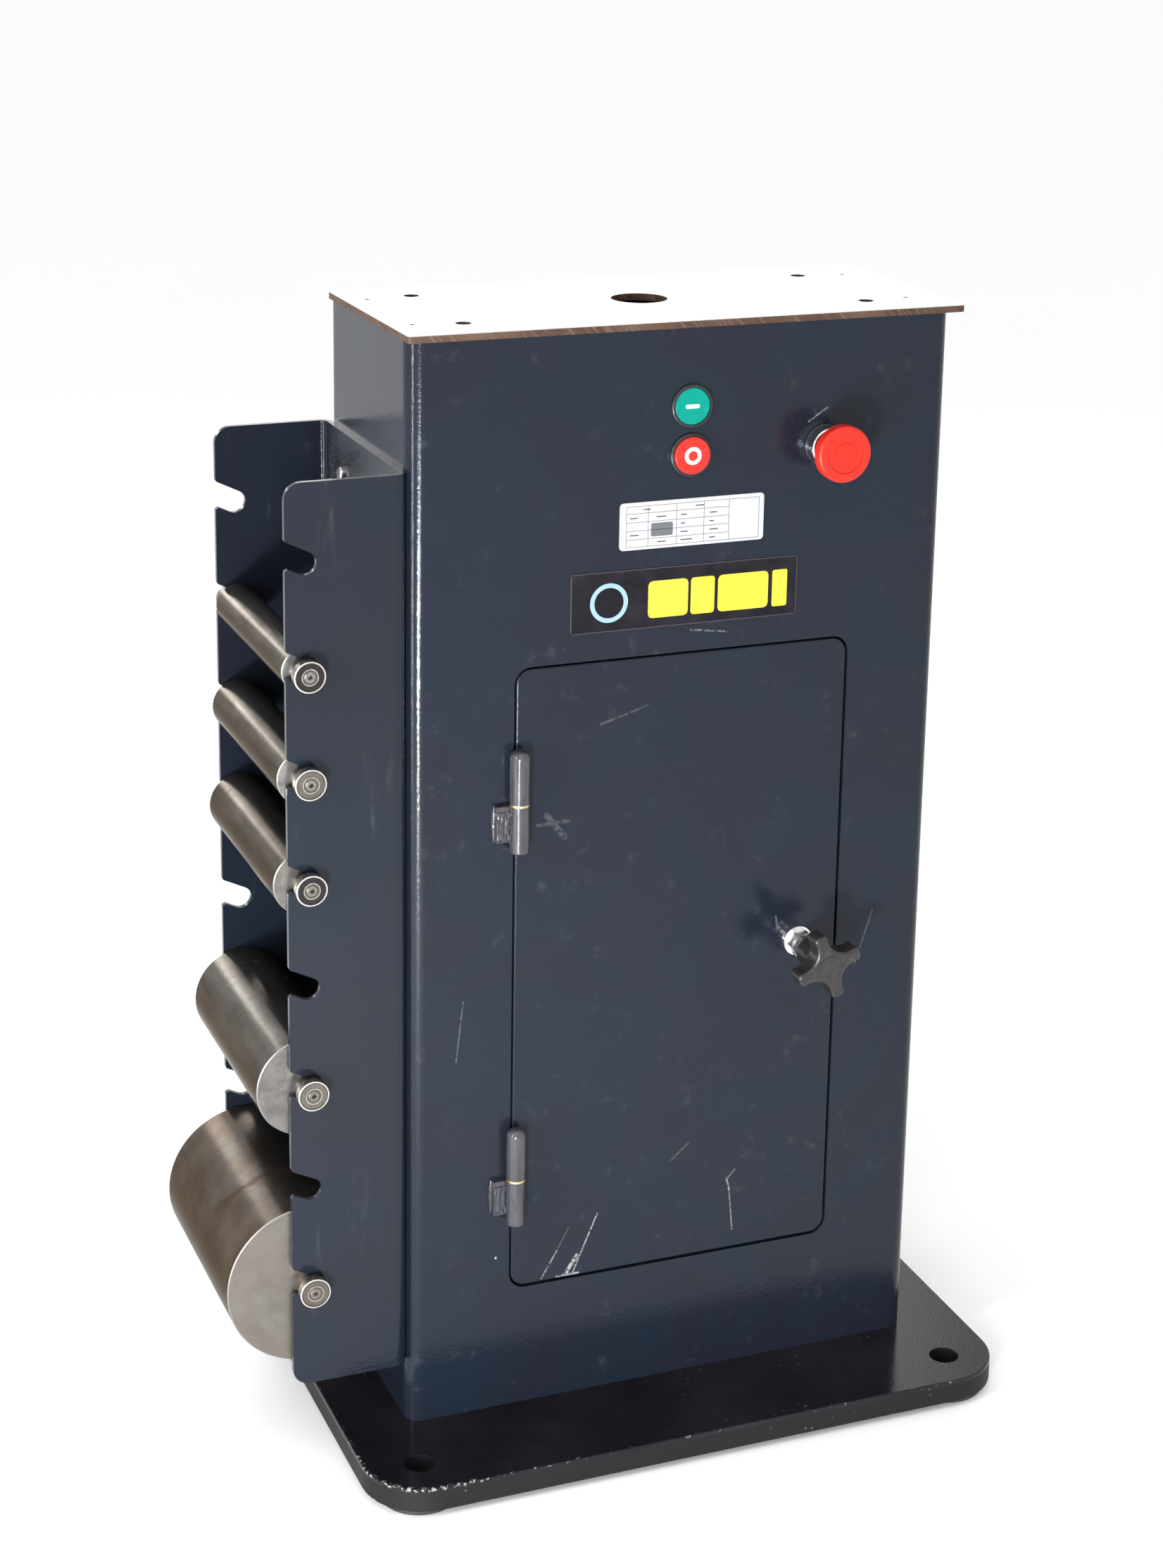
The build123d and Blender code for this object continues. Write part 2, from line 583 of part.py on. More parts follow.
def build_button(name, z, proud):
    """Push button: bezel with body tube, sprung cap and its stem."""
    x = DOOR_SHIFT
    bezel = rod_y(x, z, FRONT - BEZEL_H, FRONT, BEZEL_R)
    bezel = fillet(front_edges(bezel, FRONT - BEZEL_H), 1.0)
    bezel += rod_y(x, z, FRONT - 1, BODY_BACK, BUTTON_BODY_R)
    bezel -= rod_y(x, z, FRONT - BEZEL_H - 1, FRONT + POCKET_DEPTH, CAP_R + RUN_FIT)
    bezel -= rod_y(x, z, FRONT, BODY_BACK + 1, STEM_R + RUN_FIT)
    save(f"{name}_bezel", bezel)
    face = FRONT - proud
    cap_back = FRONT + 2.5
    cap = rod_y(x, z, face, cap_back, CAP_R)
    cap = fillet(front_edges(cap, face), 0.9)
    cap += rod_y(x, z, cap_back - 1, BODY_BACK + 2, STEM_R)
    save(f"{name}_cap", cap)
    spring_end = FRONT + POCKET_DEPTH - BUTTON_TRAVEL - 0.5
    spring = spring_y(x, z, cap_back + 0.1, spring_end, SPRING_R, SPRING_WIRE, 5)
    save(f"{name}_spring", spring)


def contact_block(x, z, pocket_r):
    """Contact block behind a control, with a pocket for the stem and four terminal screws."""
    half_w = BLOCK_W / 2
    half_h = BLOCK_H / 2
    back = BODY_BACK + BLOCK_D
    body = block(x - half_w, x + half_w, BODY_BACK, back, z - half_h, z + half_h)
    body = chamfer(body.edges().filter_by(Axis.Y), 1.5)
    body -= rod_y(x, z, BODY_BACK - 1, BODY_BACK + 9, pocket_r)
    for dx, dz in four(half_w - 5, half_h - 5):
        body -= rod_y(x + dx, z + dz, back - 3, back + 1, 2.2)
    return body


def build_controls():
    """Start, stop and emergency stop with their lock nuts and contact blocks."""
    build_button("start", START_Z, BEZEL_H - 0.3)
    build_button("stop", STOP_Z, BEZEL_H + 2.3)
    collar_face = FRONT - ESTOP_COLLAR_L
    collar_foot = FRONT - GASKET_T
    collar = rod_y(ESTOP_X, STOP_Z, collar_face, collar_foot, ESTOP_COLLAR_R)
    collar = fillet(front_edges(collar, collar_face), 1.6)
    collar += rod_y(ESTOP_X, STOP_Z, collar_foot, BODY_BACK, ESTOP_BODY_R)
    bore = rod_y(ESTOP_X, STOP_Z, collar_face - 1, BODY_BACK + 1, ESTOP_STEM_R + RUN_FIT)
    save("estop_collar", collar - bore)
    gasket_r = ESTOP_COLLAR_R + 0.7
    gasket = ring_y(ESTOP_X, STOP_Z, collar_foot, FRONT, gasket_r, ESTOP_BODY_R + RUN_FIT)
    save("estop_gasket", gasket)
    head_face = FRONT - ESTOP_HEAD_REACH
    head_back = head_face + ESTOP_HEAD_L
    rim_back = head_face + 8
    stem_tip = head_back - 6
    plunger = rod_y(ESTOP_X, STOP_Z, stem_tip, BODY_BACK + 2, ESTOP_STEM_R)
    save("estop_plunger", plunger)
    head = rod_y(ESTOP_X, STOP_Z, head_face, rim_back, ESTOP_HEAD_R)
    head = fillet(front_edges(head, head_face), 2.4)
    skirt_l = head_back - rim_back
    skirt = Cone(ESTOP_STEM_R + 3.5, ESTOP_HEAD_R, skirt_l)
    head += Pos(ESTOP_X, rim_back + skirt_l / 2, STOP_Z) * Rot(90, 0, 0) * skirt
    head -= rod_y(ESTOP_X, STOP_Z, head_face - 1, head_face + 0.8, ESTOP_HEAD_R - 6.5)
    head += rod_y(ESTOP_X, STOP_Z, head_face + 0.2, head_face + 2, ESTOP_STEM_R)
    head -= rod_y(ESTOP_X, STOP_Z, stem_tip - 0.2, head_back + 1, ESTOP_STEM_R + BORE_FIT)
    save("estop_head", head)
    nuts = []
    for x, z, bore_r in (
        (DOOR_SHIFT, START_Z, BUTTON_BODY_R),
        (DOOR_SHIFT, STOP_Z, BUTTON_BODY_R),
        (ESTOP_X, STOP_Z, ESTOP_BODY_R),
    ):
        nut_back = INNER_FRONT + LOCK_NUT_T
        nuts.append(ring_y(x, z, INNER_FRONT, nut_back, LOCK_NUT_R, bore_r + BORE_FIT))
    save("control_lock_nuts", *nuts)
    save(
        "contact_blocks",
        contact_block(DOOR_SHIFT, START_Z + 1, STEM_R + 2),
        contact_block(DOOR_SHIFT, STOP_Z - 1, STEM_R + 2),
        contact_block(ESTOP_X, STOP_Z, ESTOP_STEM_R + 1.5),
    )


def build_plates():
    """Data plate and name plate on the front, without any lettering."""
    data = RectangleRounded(DATA_PLATE_W, DATA_PLATE_H, 3.0)
    data_z = CAB_TOP - DATA_PLATE_DROP
    save("data_plate", facing(data, DATA_PLATE_X, data_z, FRONT - PLATE_T, FRONT))
    name = RectangleRounded(NAME_PLATE_W, NAME_PLATE_H, 2.0)
    name_z = CAB_TOP - NAME_PLATE_DROP
    save("name_plate", facing(name, NAME_PLATE_X, name_z, FRONT - PLATE_T, FRONT))


# ---------------------------------------------------------------- roller rack
def rack_outline():
    """Side outline of the rack's plates in X and Z, with one hooked notch per roller."""
    outline = Pos(RACK_LEFT + RACK_REACH / 2, RACK_BASE + RACK_H / 2) * Rectangle(RACK_REACH, RACK_H)
    corners = outline.vertices().group_by(Axis.X)[0]
    outline = fillet(corners, RACK_CORNER_R)
    mouth_rise = NOTCH_END * tan(radians(NOTCH_TILT))
    mouth_half = SLOT_R / cos(radians(NOTCH_TILT))
    mouths = []
    for number in range(1, NOTCHES + 1):
        centre = (NOTCH_X, notch_z(number))
        outline -= Pos(*centre) * Circle(SLOT_R)
        channel = Pos(-CHANNEL_L / 2, 0) * Rectangle(CHANNEL_L, 2 * SLOT_R)
        outline -= Pos(*centre) * Rot(0, 0, -NOTCH_TILT) * channel
        mouths.append(notch_z(number) + mouth_rise)
    lips = []
    for corner in outline.vertices():
        on_rim = abs(corner.X - RACK_LEFT) < 0.01
        if on_rim and any(abs(corner.Y - z) < mouth_half + 1 for z in mouths):
            lips.append(corner)
    return fillet(lips, NOTCH_LIP_R)


def build_rack():
    """U-bent rack of one sheet: front plate, web against the cabinet, rear plate."""
    inner_r = RACK_BEND_R - RACK_T
    outer = RectangleRounded(2 * RACK_REACH, CABINET_D, RACK_BEND_R)
    inner = RectangleRounded(2 * RACK_REACH, CABINET_D - 2 * RACK_T, inner_r)
    middle = LEFT - RACK_REACH
    section = Pos(middle, 0) * outer - Pos(middle - RACK_T, 0) * inner
    channel = Pos(0, 0, RACK_BASE) * extrude(section, amount=RACK_H)
    sides = facing(rack_outline(), 0, 0, FRONT - 1, BACK + 1)
    rack = channel & sides
    for y, z in RACK_BOLTS:
        rack -= rod_x(y, z, LEFT - RACK_T - 1, LEFT + 1, M6_R + BOLT_PLAY)
    save("roller_rack", rack)
    bolts, nuts = [], []
    seat = LEFT - RACK_T
    wall = LEFT + SHEET
    for y, z in RACK_BOLTS:
        head = rod_x(y, z, seat - M6_HEAD_H, seat, M6_HEAD_R)
        head = fillet(head.edges().group_by(Axis.X)[0], 2.0)
        head -= rod_x(y, z, seat - M6_HEAD_H - 1, seat - M6_HEAD_H / 2, 2.0)
        bolts.append(head + rod_x(y, z, seat, wall + M6_NUT_H + 3, M6_R))
        nuts.append(hex_nut_x(y, z, wall, wall + M6_NUT_H, M6_NUT_AF, M6_R + BORE_FIT))
    save("rack_bolts", *bolts)
    save("rack_nuts", *nuts)


# ---------------------------------------------------------------- rollers
def both_ends(make):
    """Call make with the start and end of a piece on each side of the roller."""
    return [make(sign) for sign in (-1, 1)]


def span(sign, near, far):
    """Y limits of a piece at one end, in ascending order."""
    return sorted((sign * near, sign * far))


def build_roller(number, notch, diameter):
    """One contact roller turned in one piece, with a deep groove bearing on each end."""
    x, z = NOTCH_X, notch_z(notch)
    drum = rod_y(x, z, -DRUM_END, DRUM_END, diameter / 2)
    drum = chamfer(drum.edges().filter_by(GeomType.CIRCLE), 0.6)
    drum += rod_y(x, z, -NECK_END, NECK_END, NECK_R)
    drum += rod_y(x, z, -BEARING_IN, BEARING_IN, SHOULDER_R)
    spigot_end = BEARING_OUT + 0.4
    spigot = rod_y(x, z, -spigot_end, spigot_end, BEARING_BORE_R)
    drum += chamfer(spigot.edges().filter_by(GeomType.CIRCLE), 0.4)
    for sign in (-1, 1):
        tip = sign * spigot_end
        centre_drill = Cone(1.6, 0.4, 2.6) if sign < 0 else Cone(0.4, 1.6, 2.6)
        drum -= Pos(x, tip - sign * 1.3, z) * Rot(-90, 0, 0) * centre_drill
    save(f"roller_{number}_drum", drum)

    def outer(sign):
        y0, y1 = span(sign, BEARING_IN, BEARING_OUT)
        ring = rod_y(x, z, y0, y1, BEARING_R)
        ring = fillet(ring.edges().filter_by(GeomType.CIRCLE), 0.4)
        return ring - rod_y(x, z, y0 - 1, y1 + 1, SEAL_R)

    def inner(sign):
        y0, y1 = span(sign, BEARING_IN, BEARING_OUT)
        return ring_y(x, z, y0, y1, INNER_RING_R, BEARING_BORE_R + BORE_FIT)

    def seals(sign):
        pair = []
        for near in (BEARING_IN + 0.3, BEARING_OUT - 0.3 - SEAL_T):
            y0, y1 = span(sign, near, near + SEAL_T)
            pair.append(ring_y(x, z, y0, y1, SEAL_R - 0.01, INNER_RING_R + 0.1))
        return pair

    save(f"roller_{number}_outer_rings", *both_ends(outer))
    save(f"roller_{number}_inner_rings", *both_ends(inner))
    save(f"roller_{number}_seals", *seals(-1), *seals(1))



def main():
    """Build and write every node."""
    build_base()
    build_shell()
    build_rails()
    build_back()
    build_top()
    build_inside()
    build_door()
    build_hinges()
    build_latch()
    build_controls()
    build_plates()
    build_rack()
    for number, (notch, diameter) in enumerate(ROLLERS, start=1):
        build_roller(number, notch, diameter)


main()
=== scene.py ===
"""Looks of a floor pedestal for a belt grinding machine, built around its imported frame.

The pedestal has a bent sheet cabinet on a heavy base plate, a hinged door with a cross grip, push buttons
with an emergency stop, and a rack on the left that holds five turned contact rollers.
Everything is in metres, with +X to the right seen from the front, +Y to the back and +Z up.
"""

import json
import logging
import math
from dataclasses import dataclass
from enum import Enum
from typing import Callable, Iterable, Sequence

import bmesh
import bpy
from mathutils import Matrix, Vector

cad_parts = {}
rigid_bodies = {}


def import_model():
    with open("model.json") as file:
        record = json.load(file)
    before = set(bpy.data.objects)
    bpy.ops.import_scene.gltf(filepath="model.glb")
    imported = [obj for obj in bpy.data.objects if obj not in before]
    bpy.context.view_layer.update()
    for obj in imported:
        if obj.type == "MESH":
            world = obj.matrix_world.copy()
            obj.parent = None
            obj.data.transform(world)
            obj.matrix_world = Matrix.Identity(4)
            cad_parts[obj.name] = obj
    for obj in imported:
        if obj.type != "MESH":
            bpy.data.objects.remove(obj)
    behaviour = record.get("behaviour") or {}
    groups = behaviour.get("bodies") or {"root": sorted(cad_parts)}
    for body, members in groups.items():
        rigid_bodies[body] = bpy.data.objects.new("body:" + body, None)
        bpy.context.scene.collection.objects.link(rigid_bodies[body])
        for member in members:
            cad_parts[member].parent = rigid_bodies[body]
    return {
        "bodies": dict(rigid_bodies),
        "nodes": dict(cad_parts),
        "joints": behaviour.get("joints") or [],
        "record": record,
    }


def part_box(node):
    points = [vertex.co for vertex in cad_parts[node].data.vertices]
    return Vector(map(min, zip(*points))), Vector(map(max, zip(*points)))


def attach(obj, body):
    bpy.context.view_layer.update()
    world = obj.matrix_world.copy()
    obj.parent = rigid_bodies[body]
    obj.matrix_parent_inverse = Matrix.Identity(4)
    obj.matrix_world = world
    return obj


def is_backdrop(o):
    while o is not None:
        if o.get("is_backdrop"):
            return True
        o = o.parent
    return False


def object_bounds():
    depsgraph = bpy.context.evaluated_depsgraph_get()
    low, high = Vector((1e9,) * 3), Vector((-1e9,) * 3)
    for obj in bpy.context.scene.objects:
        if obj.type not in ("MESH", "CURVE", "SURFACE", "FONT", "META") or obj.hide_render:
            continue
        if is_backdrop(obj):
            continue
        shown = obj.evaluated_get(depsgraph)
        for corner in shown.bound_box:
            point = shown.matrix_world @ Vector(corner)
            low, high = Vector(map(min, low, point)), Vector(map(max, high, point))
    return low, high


log = logging.getLogger("pedestal")

Colour = tuple[float, float, float]
Point = tuple[float, float, float]

MM = 0.001


def rgba(colour: Colour) -> tuple[float, float, float, float]:
    """Give a colour an alpha of one."""
    return (*colour, 1.0)


# ------------------------------------------------------------------ shader building


class Signal:
    """A shader socket that takes part in Python arithmetic."""

    def __init__(self, paint: "Paint", socket: bpy.types.NodeSocket) -> None:
        """Keep the socket and the paint whose tree it lives in."""
        self.paint = paint
        self.socket = socket

    def math(self, operation: str, *others: "Signal | float", clamp: bool = False) -> "Signal":
        """Feed this signal and others to a Math node.

        Args:
            operation: Name of the Math node's operation.
            others: Further operands, signals or numbers.
            clamp: Whether the result is held between 0 and 1.

        Returns:
            The node's result.
        """
        settings = {"operation": operation, "use_clamp": clamp}
        made = self.paint.node("ShaderNodeMath", settings, dict(enumerate((self, *others))))
        return Signal(self.paint, made.outputs[0])

    def _swapped(self, operation: str, other: float) -> "Signal":
        """Use this signal as the second operand after a number."""
        made = self.paint.node("ShaderNodeMath", {"operation": operation}, {0: other, 1: self})
        return Signal(self.paint, made.outputs[0])

    def __add__(self, other: "Signal | float") -> "Signal":
        """Add."""
        return self.math("ADD", other)

    def __sub__(self, other: "Signal | float") -> "Signal":
        """Subtract."""
        return self.math("SUBTRACT", other)

    def __mul__(self, other: "Signal | float") -> "Signal":
        """Multiply."""
        return self.math("MULTIPLY", other)

    def __truediv__(self, other: "Signal | float") -> "Signal":
        """Divide."""
        return self.math("DIVIDE", other)

    def __radd__(self, other: float) -> "Signal":
        """Add to a number."""
        return self.math("ADD", other)

    def __rmul__(self, other: float) -> "Signal":
        """Multiply a number."""
        return self.math("MULTIPLY", other)

    def __rsub__(self, other: float) -> "Signal":
        """Subtract from a number."""
        return self._swapped("SUBTRACT", other)

    def __abs__(self) -> "Signal":
        """Absolute value."""
        return self.math("ABSOLUTE")

    def most(self, other: "Signal | float") -> "Signal":
        """Larger of two signals."""
        return self.math("MAXIMUM", other)

    def least(self, other: "Signal | float") -> "Signal":
        """Smaller of two signals."""
        return self.math("MINIMUM", other)

    def rise(self, low: float, high: float) -> "Signal":
        """Smooth step from 0 at low to 1 at high, which may be the smaller number."""
        flip = low > high
        values = {"Value": self, "From Min": min(low, high), "From Max": max(low, high)}
        values |= {"To Min": 1.0 if flip else 0.0, "To Max": 0.0 if flip else 1.0}
        made = self.paint.node("ShaderNodeMapRange", {"interpolation_type": "SMOOTHSTEP"}, values)
        return Signal(self.paint, made.outputs["Result"])


class Paint:
    """A material under construction, with one principled shader."""

    def __init__(self, name: str) -> None:
        """Start an empty material with its shader and output."""
        self.material = bpy.data.materials.new(name)
        self.material.use_nodes = True
        self.tree = self.material.node_tree
        self.tree.nodes.clear()
        self.shader = self.node("ShaderNodeBsdfPrincipled")
        self.node("ShaderNodeOutputMaterial", None, {"Surface": self.shader.outputs[0]})
        self.place = Signal(self, self.node("ShaderNodeTexCoord").outputs["Object"])

    def node(self, kind: str, settings: dict | None = None, inputs: dict | None = None) -> bpy.types.Node:
        """Add one node.

        Args:
            kind: The node's type.
            settings: Properties set first; "stops" fills a colour ramp.
            inputs: Values, sockets or signals by socket name or number.

        Returns:
            The new node.
        """
        made = self.tree.nodes.new(kind)
        for name, value in (settings or {}).items():
            if name == "stops":
                ramp = made.color_ramp
                while len(ramp.elements) < len(value):
                    ramp.elements.new(0.5)
                for element, (position, colour) in zip(ramp.elements, value):
                    element.position, element.color = position, rgba(colour)
            else:
                setattr(made, name, value)
        for key, value in (inputs or {}).items():
            socket = made.inputs[key]
            if isinstance(value, Signal):
                self.tree.links.new(value.socket, socket)
            elif isinstance(value, bpy.types.NodeSocket):
                self.tree.links.new(value, socket)
            else:
                socket.default_value = value
        return made

    def set(self, **values: object) -> None:
        """Set or link shader sockets; underscores in a name stand for spaces."""
        for name, value in values.items():
            socket = self.shader.inputs[name.replace("_", " ")]
            if isinstance(value, Signal):
                self.tree.links.new(value.socket, socket)
            elif isinstance(value, tuple) and socket.type == "RGBA":
                socket.default_value = rgba(value)
            else:
                socket.default_value = value

    def axes(self, source: Signal | None = None) -> tuple[Signal, Signal, Signal]:
        """Split a place into its X, Y and Z."""
        made = self.node("ShaderNodeSeparateXYZ", None, {0: source or self.place})
        return tuple(Signal(self, out) for out in made.outputs)

    def facing(self) -> tuple[Signal, Signal, Signal]:
        """Split the surface normal into X, Y and Z."""
        return self.axes(Signal(self, self.node("ShaderNodeNewGeometry").outputs["Normal"]))

    def combine(self, x: "Signal | float", y: "Signal | float", z: "Signal | float") -> Signal:
        """Join three numbers into a vector."""
        return Signal(self, self.node("ShaderNodeCombineXYZ", None, {0: x, 1: y, 2: z}).outputs[0])

    def stretched(self, scale: Point, shift: Point = (0.0, 0.0, 0.0)) -> Signal:
        """Object place with each axis scaled and shifted."""
        made = self.node("ShaderNodeMapping", None, {"Vector": self.place, "Scale": scale, "Location": shift})
        return Signal(self, made.outputs[0])

    def noise(
        self,
        scale: float,
        detail: float = 3.0,
        source: Signal | None = None,
        rough: float = 0.5,
        warp: float = 0.0,
    ) -> Signal:
        """Grey noise from 0 to 1.

        Args:
            scale: Features per metre, roughly.
            detail: Number of octaves.
            source: Place to read, or the object place.
            rough: Strength of the finer octaves.
            warp: Distortion.

        Returns:
            The noise.
        """
        values = {"Vector": source or self.place, "Scale": scale, "Detail": detail}
        values |= {"Roughness": rough, "Distortion": warp}
        return Signal(self, self.node("ShaderNodeTexNoise", None, values).outputs[0])

    def cells(self, scale: float, source: Signal | None = None) -> Signal:
        """Distance to the nearest of scattered points."""
        values = {"Vector": source or self.place, "Scale": scale}
        return Signal(self, self.node("ShaderNodeTexVoronoi", None, values).outputs["Distance"])

    def blend(self, share: Signal | float, low: "Colour | Signal", high: "Colour | Signal") -> Signal:
        """Mix two colours."""
        ends = [rgba(end) if isinstance(end, tuple) else end for end in (low, high)]
        made = self.node("ShaderNodeMix", {"data_type": "RGBA"}, {0: share, 6: ends[0], 7: ends[1]})
        return Signal(self, made.outputs[2])

    def bump(self, height: Signal, depth: float, strength: float = 1.0) -> None:
        """Roughen the surface by a height signal, with its full depth in metres."""
        values = {"Height": height, "Distance": depth, "Strength": strength}
        self.set(Normal=Signal(self, self.node("ShaderNodeBump", None, values).outputs[0]))

    def stroke(self, start: Point, end: Point, width: float) -> Signal:
        """Mask of a straight scratch.

        Args:
            start: One end, in metres.
            end: Other end.
            width: Half width where the mask has faded out.

        Returns:
            One on the line, zero away from it.
        """
        a, run = Vector(start), Vector(end) - Vector(start)
        away = self.vector("SUBTRACT", self.place, tuple(a))
        inverse_run = tuple(run / run.length_squared)
        along = self.vector("DOT_PRODUCT", away, inverse_run, out="Value").math("MAXIMUM", 0.0)
        values = {0: tuple(run), "Scale": along.least(1.0)}
        foot = self.node("ShaderNodeVectorMath", {"operation": "SCALE"}, values)
        gap = self.vector("DISTANCE", away, Signal(self, foot.outputs[0]), out="Value")
        return gap.rise(width, width * 0.3)

    def vector(self, operation: str, a: object, b: object, out: str = "Vector") -> Signal:
        """Vector Math node on two operands."""
        made = self.node("ShaderNodeVectorMath", {"operation": operation}, {0: a, 1: b})
        return Signal(self, made.outputs[out])


# ------------------------------------------------------------------ finishes


@dataclass(frozen=True)
class Wear:
    """One handling mark on a coated face."""

    start: Point
    end: Point
    width: float
    strength: float


@dataclass(frozen=True)
class PowderCoat:
    """Semi-gloss powder coat with orange peel, faint mottling and handling marks."""

    name: str
    cool: Colour = (0.0072, 0.0115, 0.0190)
    warm: Colour = (0.0085, 0.0102, 0.0168)
    gloss: float = 0.12
    peel: float = 0.00013
    marks: tuple[Wear, ...] = ()
    mark_colour: Colour = (0.42, 0.40, 0.40)
    level: float = 0.24

    def make(self) -> bpy.types.Material:
        """Build the material."""
        paint = Paint(self.name)
        mottle = paint.noise(16.0, 5.0, warp=0.6).rise(0.34, 0.66)
        cloud = paint.noise(2.3, 2.0)
        colour = paint.blend(mottle, self.cool, self.warm)
        dust = paint.noise(60.0, 5.0, rough=0.7).rise(0.58, 0.80) * 0.10
        colour = paint.blend(dust, colour, (0.16, 0.16, 0.17))
        patch = paint.stretched((1.0, 1.0, 0.35))
        scuffs = paint.noise(28.0, 6.0, patch, rough=0.72, warp=1.5).rise(0.60, 0.74)
        rough = self.gloss + cloud * 0.06 + scuffs * 0.12 + dust
        if self.marks:
            broken = paint.noise(420.0, 3.0).rise(0.30, 0.62)
            worn = None
            for mark in self.marks:
                line = paint.stroke(mark.start, mark.end, mark.width) * mark.strength
                worn = line if worn is None else worn.most(line)
            worn = worn * broken
            colour = paint.blend(worn, colour, self.mark_colour)
            rough = rough + worn * 0.25
        peel = paint.noise(430.0, 2.0) + paint.noise(1900.0, 1.0) * 0.15
        paint.bump(peel, self.peel)
        paint.set(Base_Color=colour, Roughness=rough, Specular_IOR_Level=self.level)
        return paint.material


@dataclass(frozen=True)
class PlateCoat:
    """Glossier, nearly black coat of the base plate, chipped along its rim."""

    name: str
    half: tuple[float, float]
    corner: float
    top: float
    chip_corner: Point

    def make(self) -> bpy.types.Material:
        """Build the material."""
        paint = Paint(self.name)
        x, y, z = paint.axes()
        qx = (abs(x) - (self.half[0] - self.corner)).most(0.0)
        qy = (abs(y) - (self.half[1] - self.corner)).most(0.0)
        reach = (qx * qx + qy * qy).math("SQRT")
        rim = reach.rise(self.corner - 0.0035, self.corner - 0.0006)
        edge = rim * z.rise(self.top - 0.0030, self.top - 0.0004)
        near = paint.vector("DISTANCE", paint.place, self.chip_corner, out="Value").rise(0.085, 0.015)
        flake = paint.noise(330.0, 4.0, rough=0.65)
        chips = edge * (flake + near * 0.10).rise(0.625, 0.665) * (0.45 + near * 0.55)
        speck = paint.cells(120.0).rise(0.16, 0.10) * paint.noise(14.0, 2.0).rise(0.54, 0.68)
        cloud = paint.noise(11.0, 5.0, rough=0.62).rise(0.35, 0.7)
        colour = paint.blend(cloud, (0.006, 0.006, 0.008), (0.013, 0.012, 0.015))
        side = z.rise(self.top - 0.001, self.top - 0.004)
        colour = paint.blend(side, colour, (0.005, 0.005, 0.006))
        colour = paint.blend(speck * 0.25, colour, (0.22, 0.20, 0.18))
        colour = paint.blend(chips.math("MINIMUM", 1.0), colour, (0.33, 0.31, 0.30))
        swirl = paint.noise(40.0, 6.0, rough=0.7, warp=2.0)
        rough = 0.10 + swirl * 0.10 + speck * 0.3 + chips * 0.2 + side * 0.42
        paint.bump(paint.noise(540.0, 2.0) - chips * 0.8, 0.00007)
        paint.set(Base_Color=colour, Roughness=rough, Specular_IOR_Level=0.24)
        return paint.material


@dataclass(frozen=True)
class CutPlate:
    """Thick plate with a ground top and brown laser-cut edges with slanting drag lines."""

    name: str

    def make(self) -> bpy.types.Material:
        """Build the material."""
        paint = Paint(self.name)
        x, y, z = paint.axes()
        slant = (x - y) + z * 0.9
        drag = paint.noise(1.0, 2.0, paint.combine(slant * 620.0, 0.0, z * 40.0))
        tint = paint.noise(30.0, 4.0)
        edge = paint.blend(tint.rise(0.3, 0.7), (0.060, 0.030, 0.018), (0.105, 0.060, 0.038))
        edge = paint.blend(drag.rise(0.52, 0.72), edge, (0.15, 0.105, 0.080))
        bands = paint.noise(7.0, 5.0, rough=0.65).rise(0.35, 0.68)
        grind = paint.noise(1.0, 3.0, paint.combine(x * 12.0, y * 1500.0, 0.0))
        scale = paint.blend(grind.rise(0.3, 0.7), (0.66, 0.65, 0.64), (0.80, 0.80, 0.79))
        scale = paint.blend(bands * 0.25, scale, (0.52, 0.51, 0.50))
        rust = paint.noise(48.0, 6.0, rough=0.72).rise(0.66, 0.76)
        scale = paint.blend(rust * 0.45, scale, (0.30, 0.20, 0.13))
        up = paint.facing()[2].rise(0.35, 0.6)
        colour = paint.blend(up, edge, scale)
        paint.bump(drag * (1.0 - up) + grind * up * 0.2, 0.00012)
        paint.set(Base_Color=colour, Roughness=0.55 + tint * 0.15 - up * 0.28, Metallic=0.55 + up * 0.4)
        return paint.material


class Patina(Enum):
    """How far a roller's surface has browned: brown share, brightness and pit share."""

    BRIGHT = (0.22, 0.24, 0.05)
    WORN = (0.32, 0.21, 0.12)
    STRAW = (0.48, 0.18, 0.15)
    GREY = (0.30, 0.165, 0.85)
    BROWN = (0.92, 0.18, 0.55)


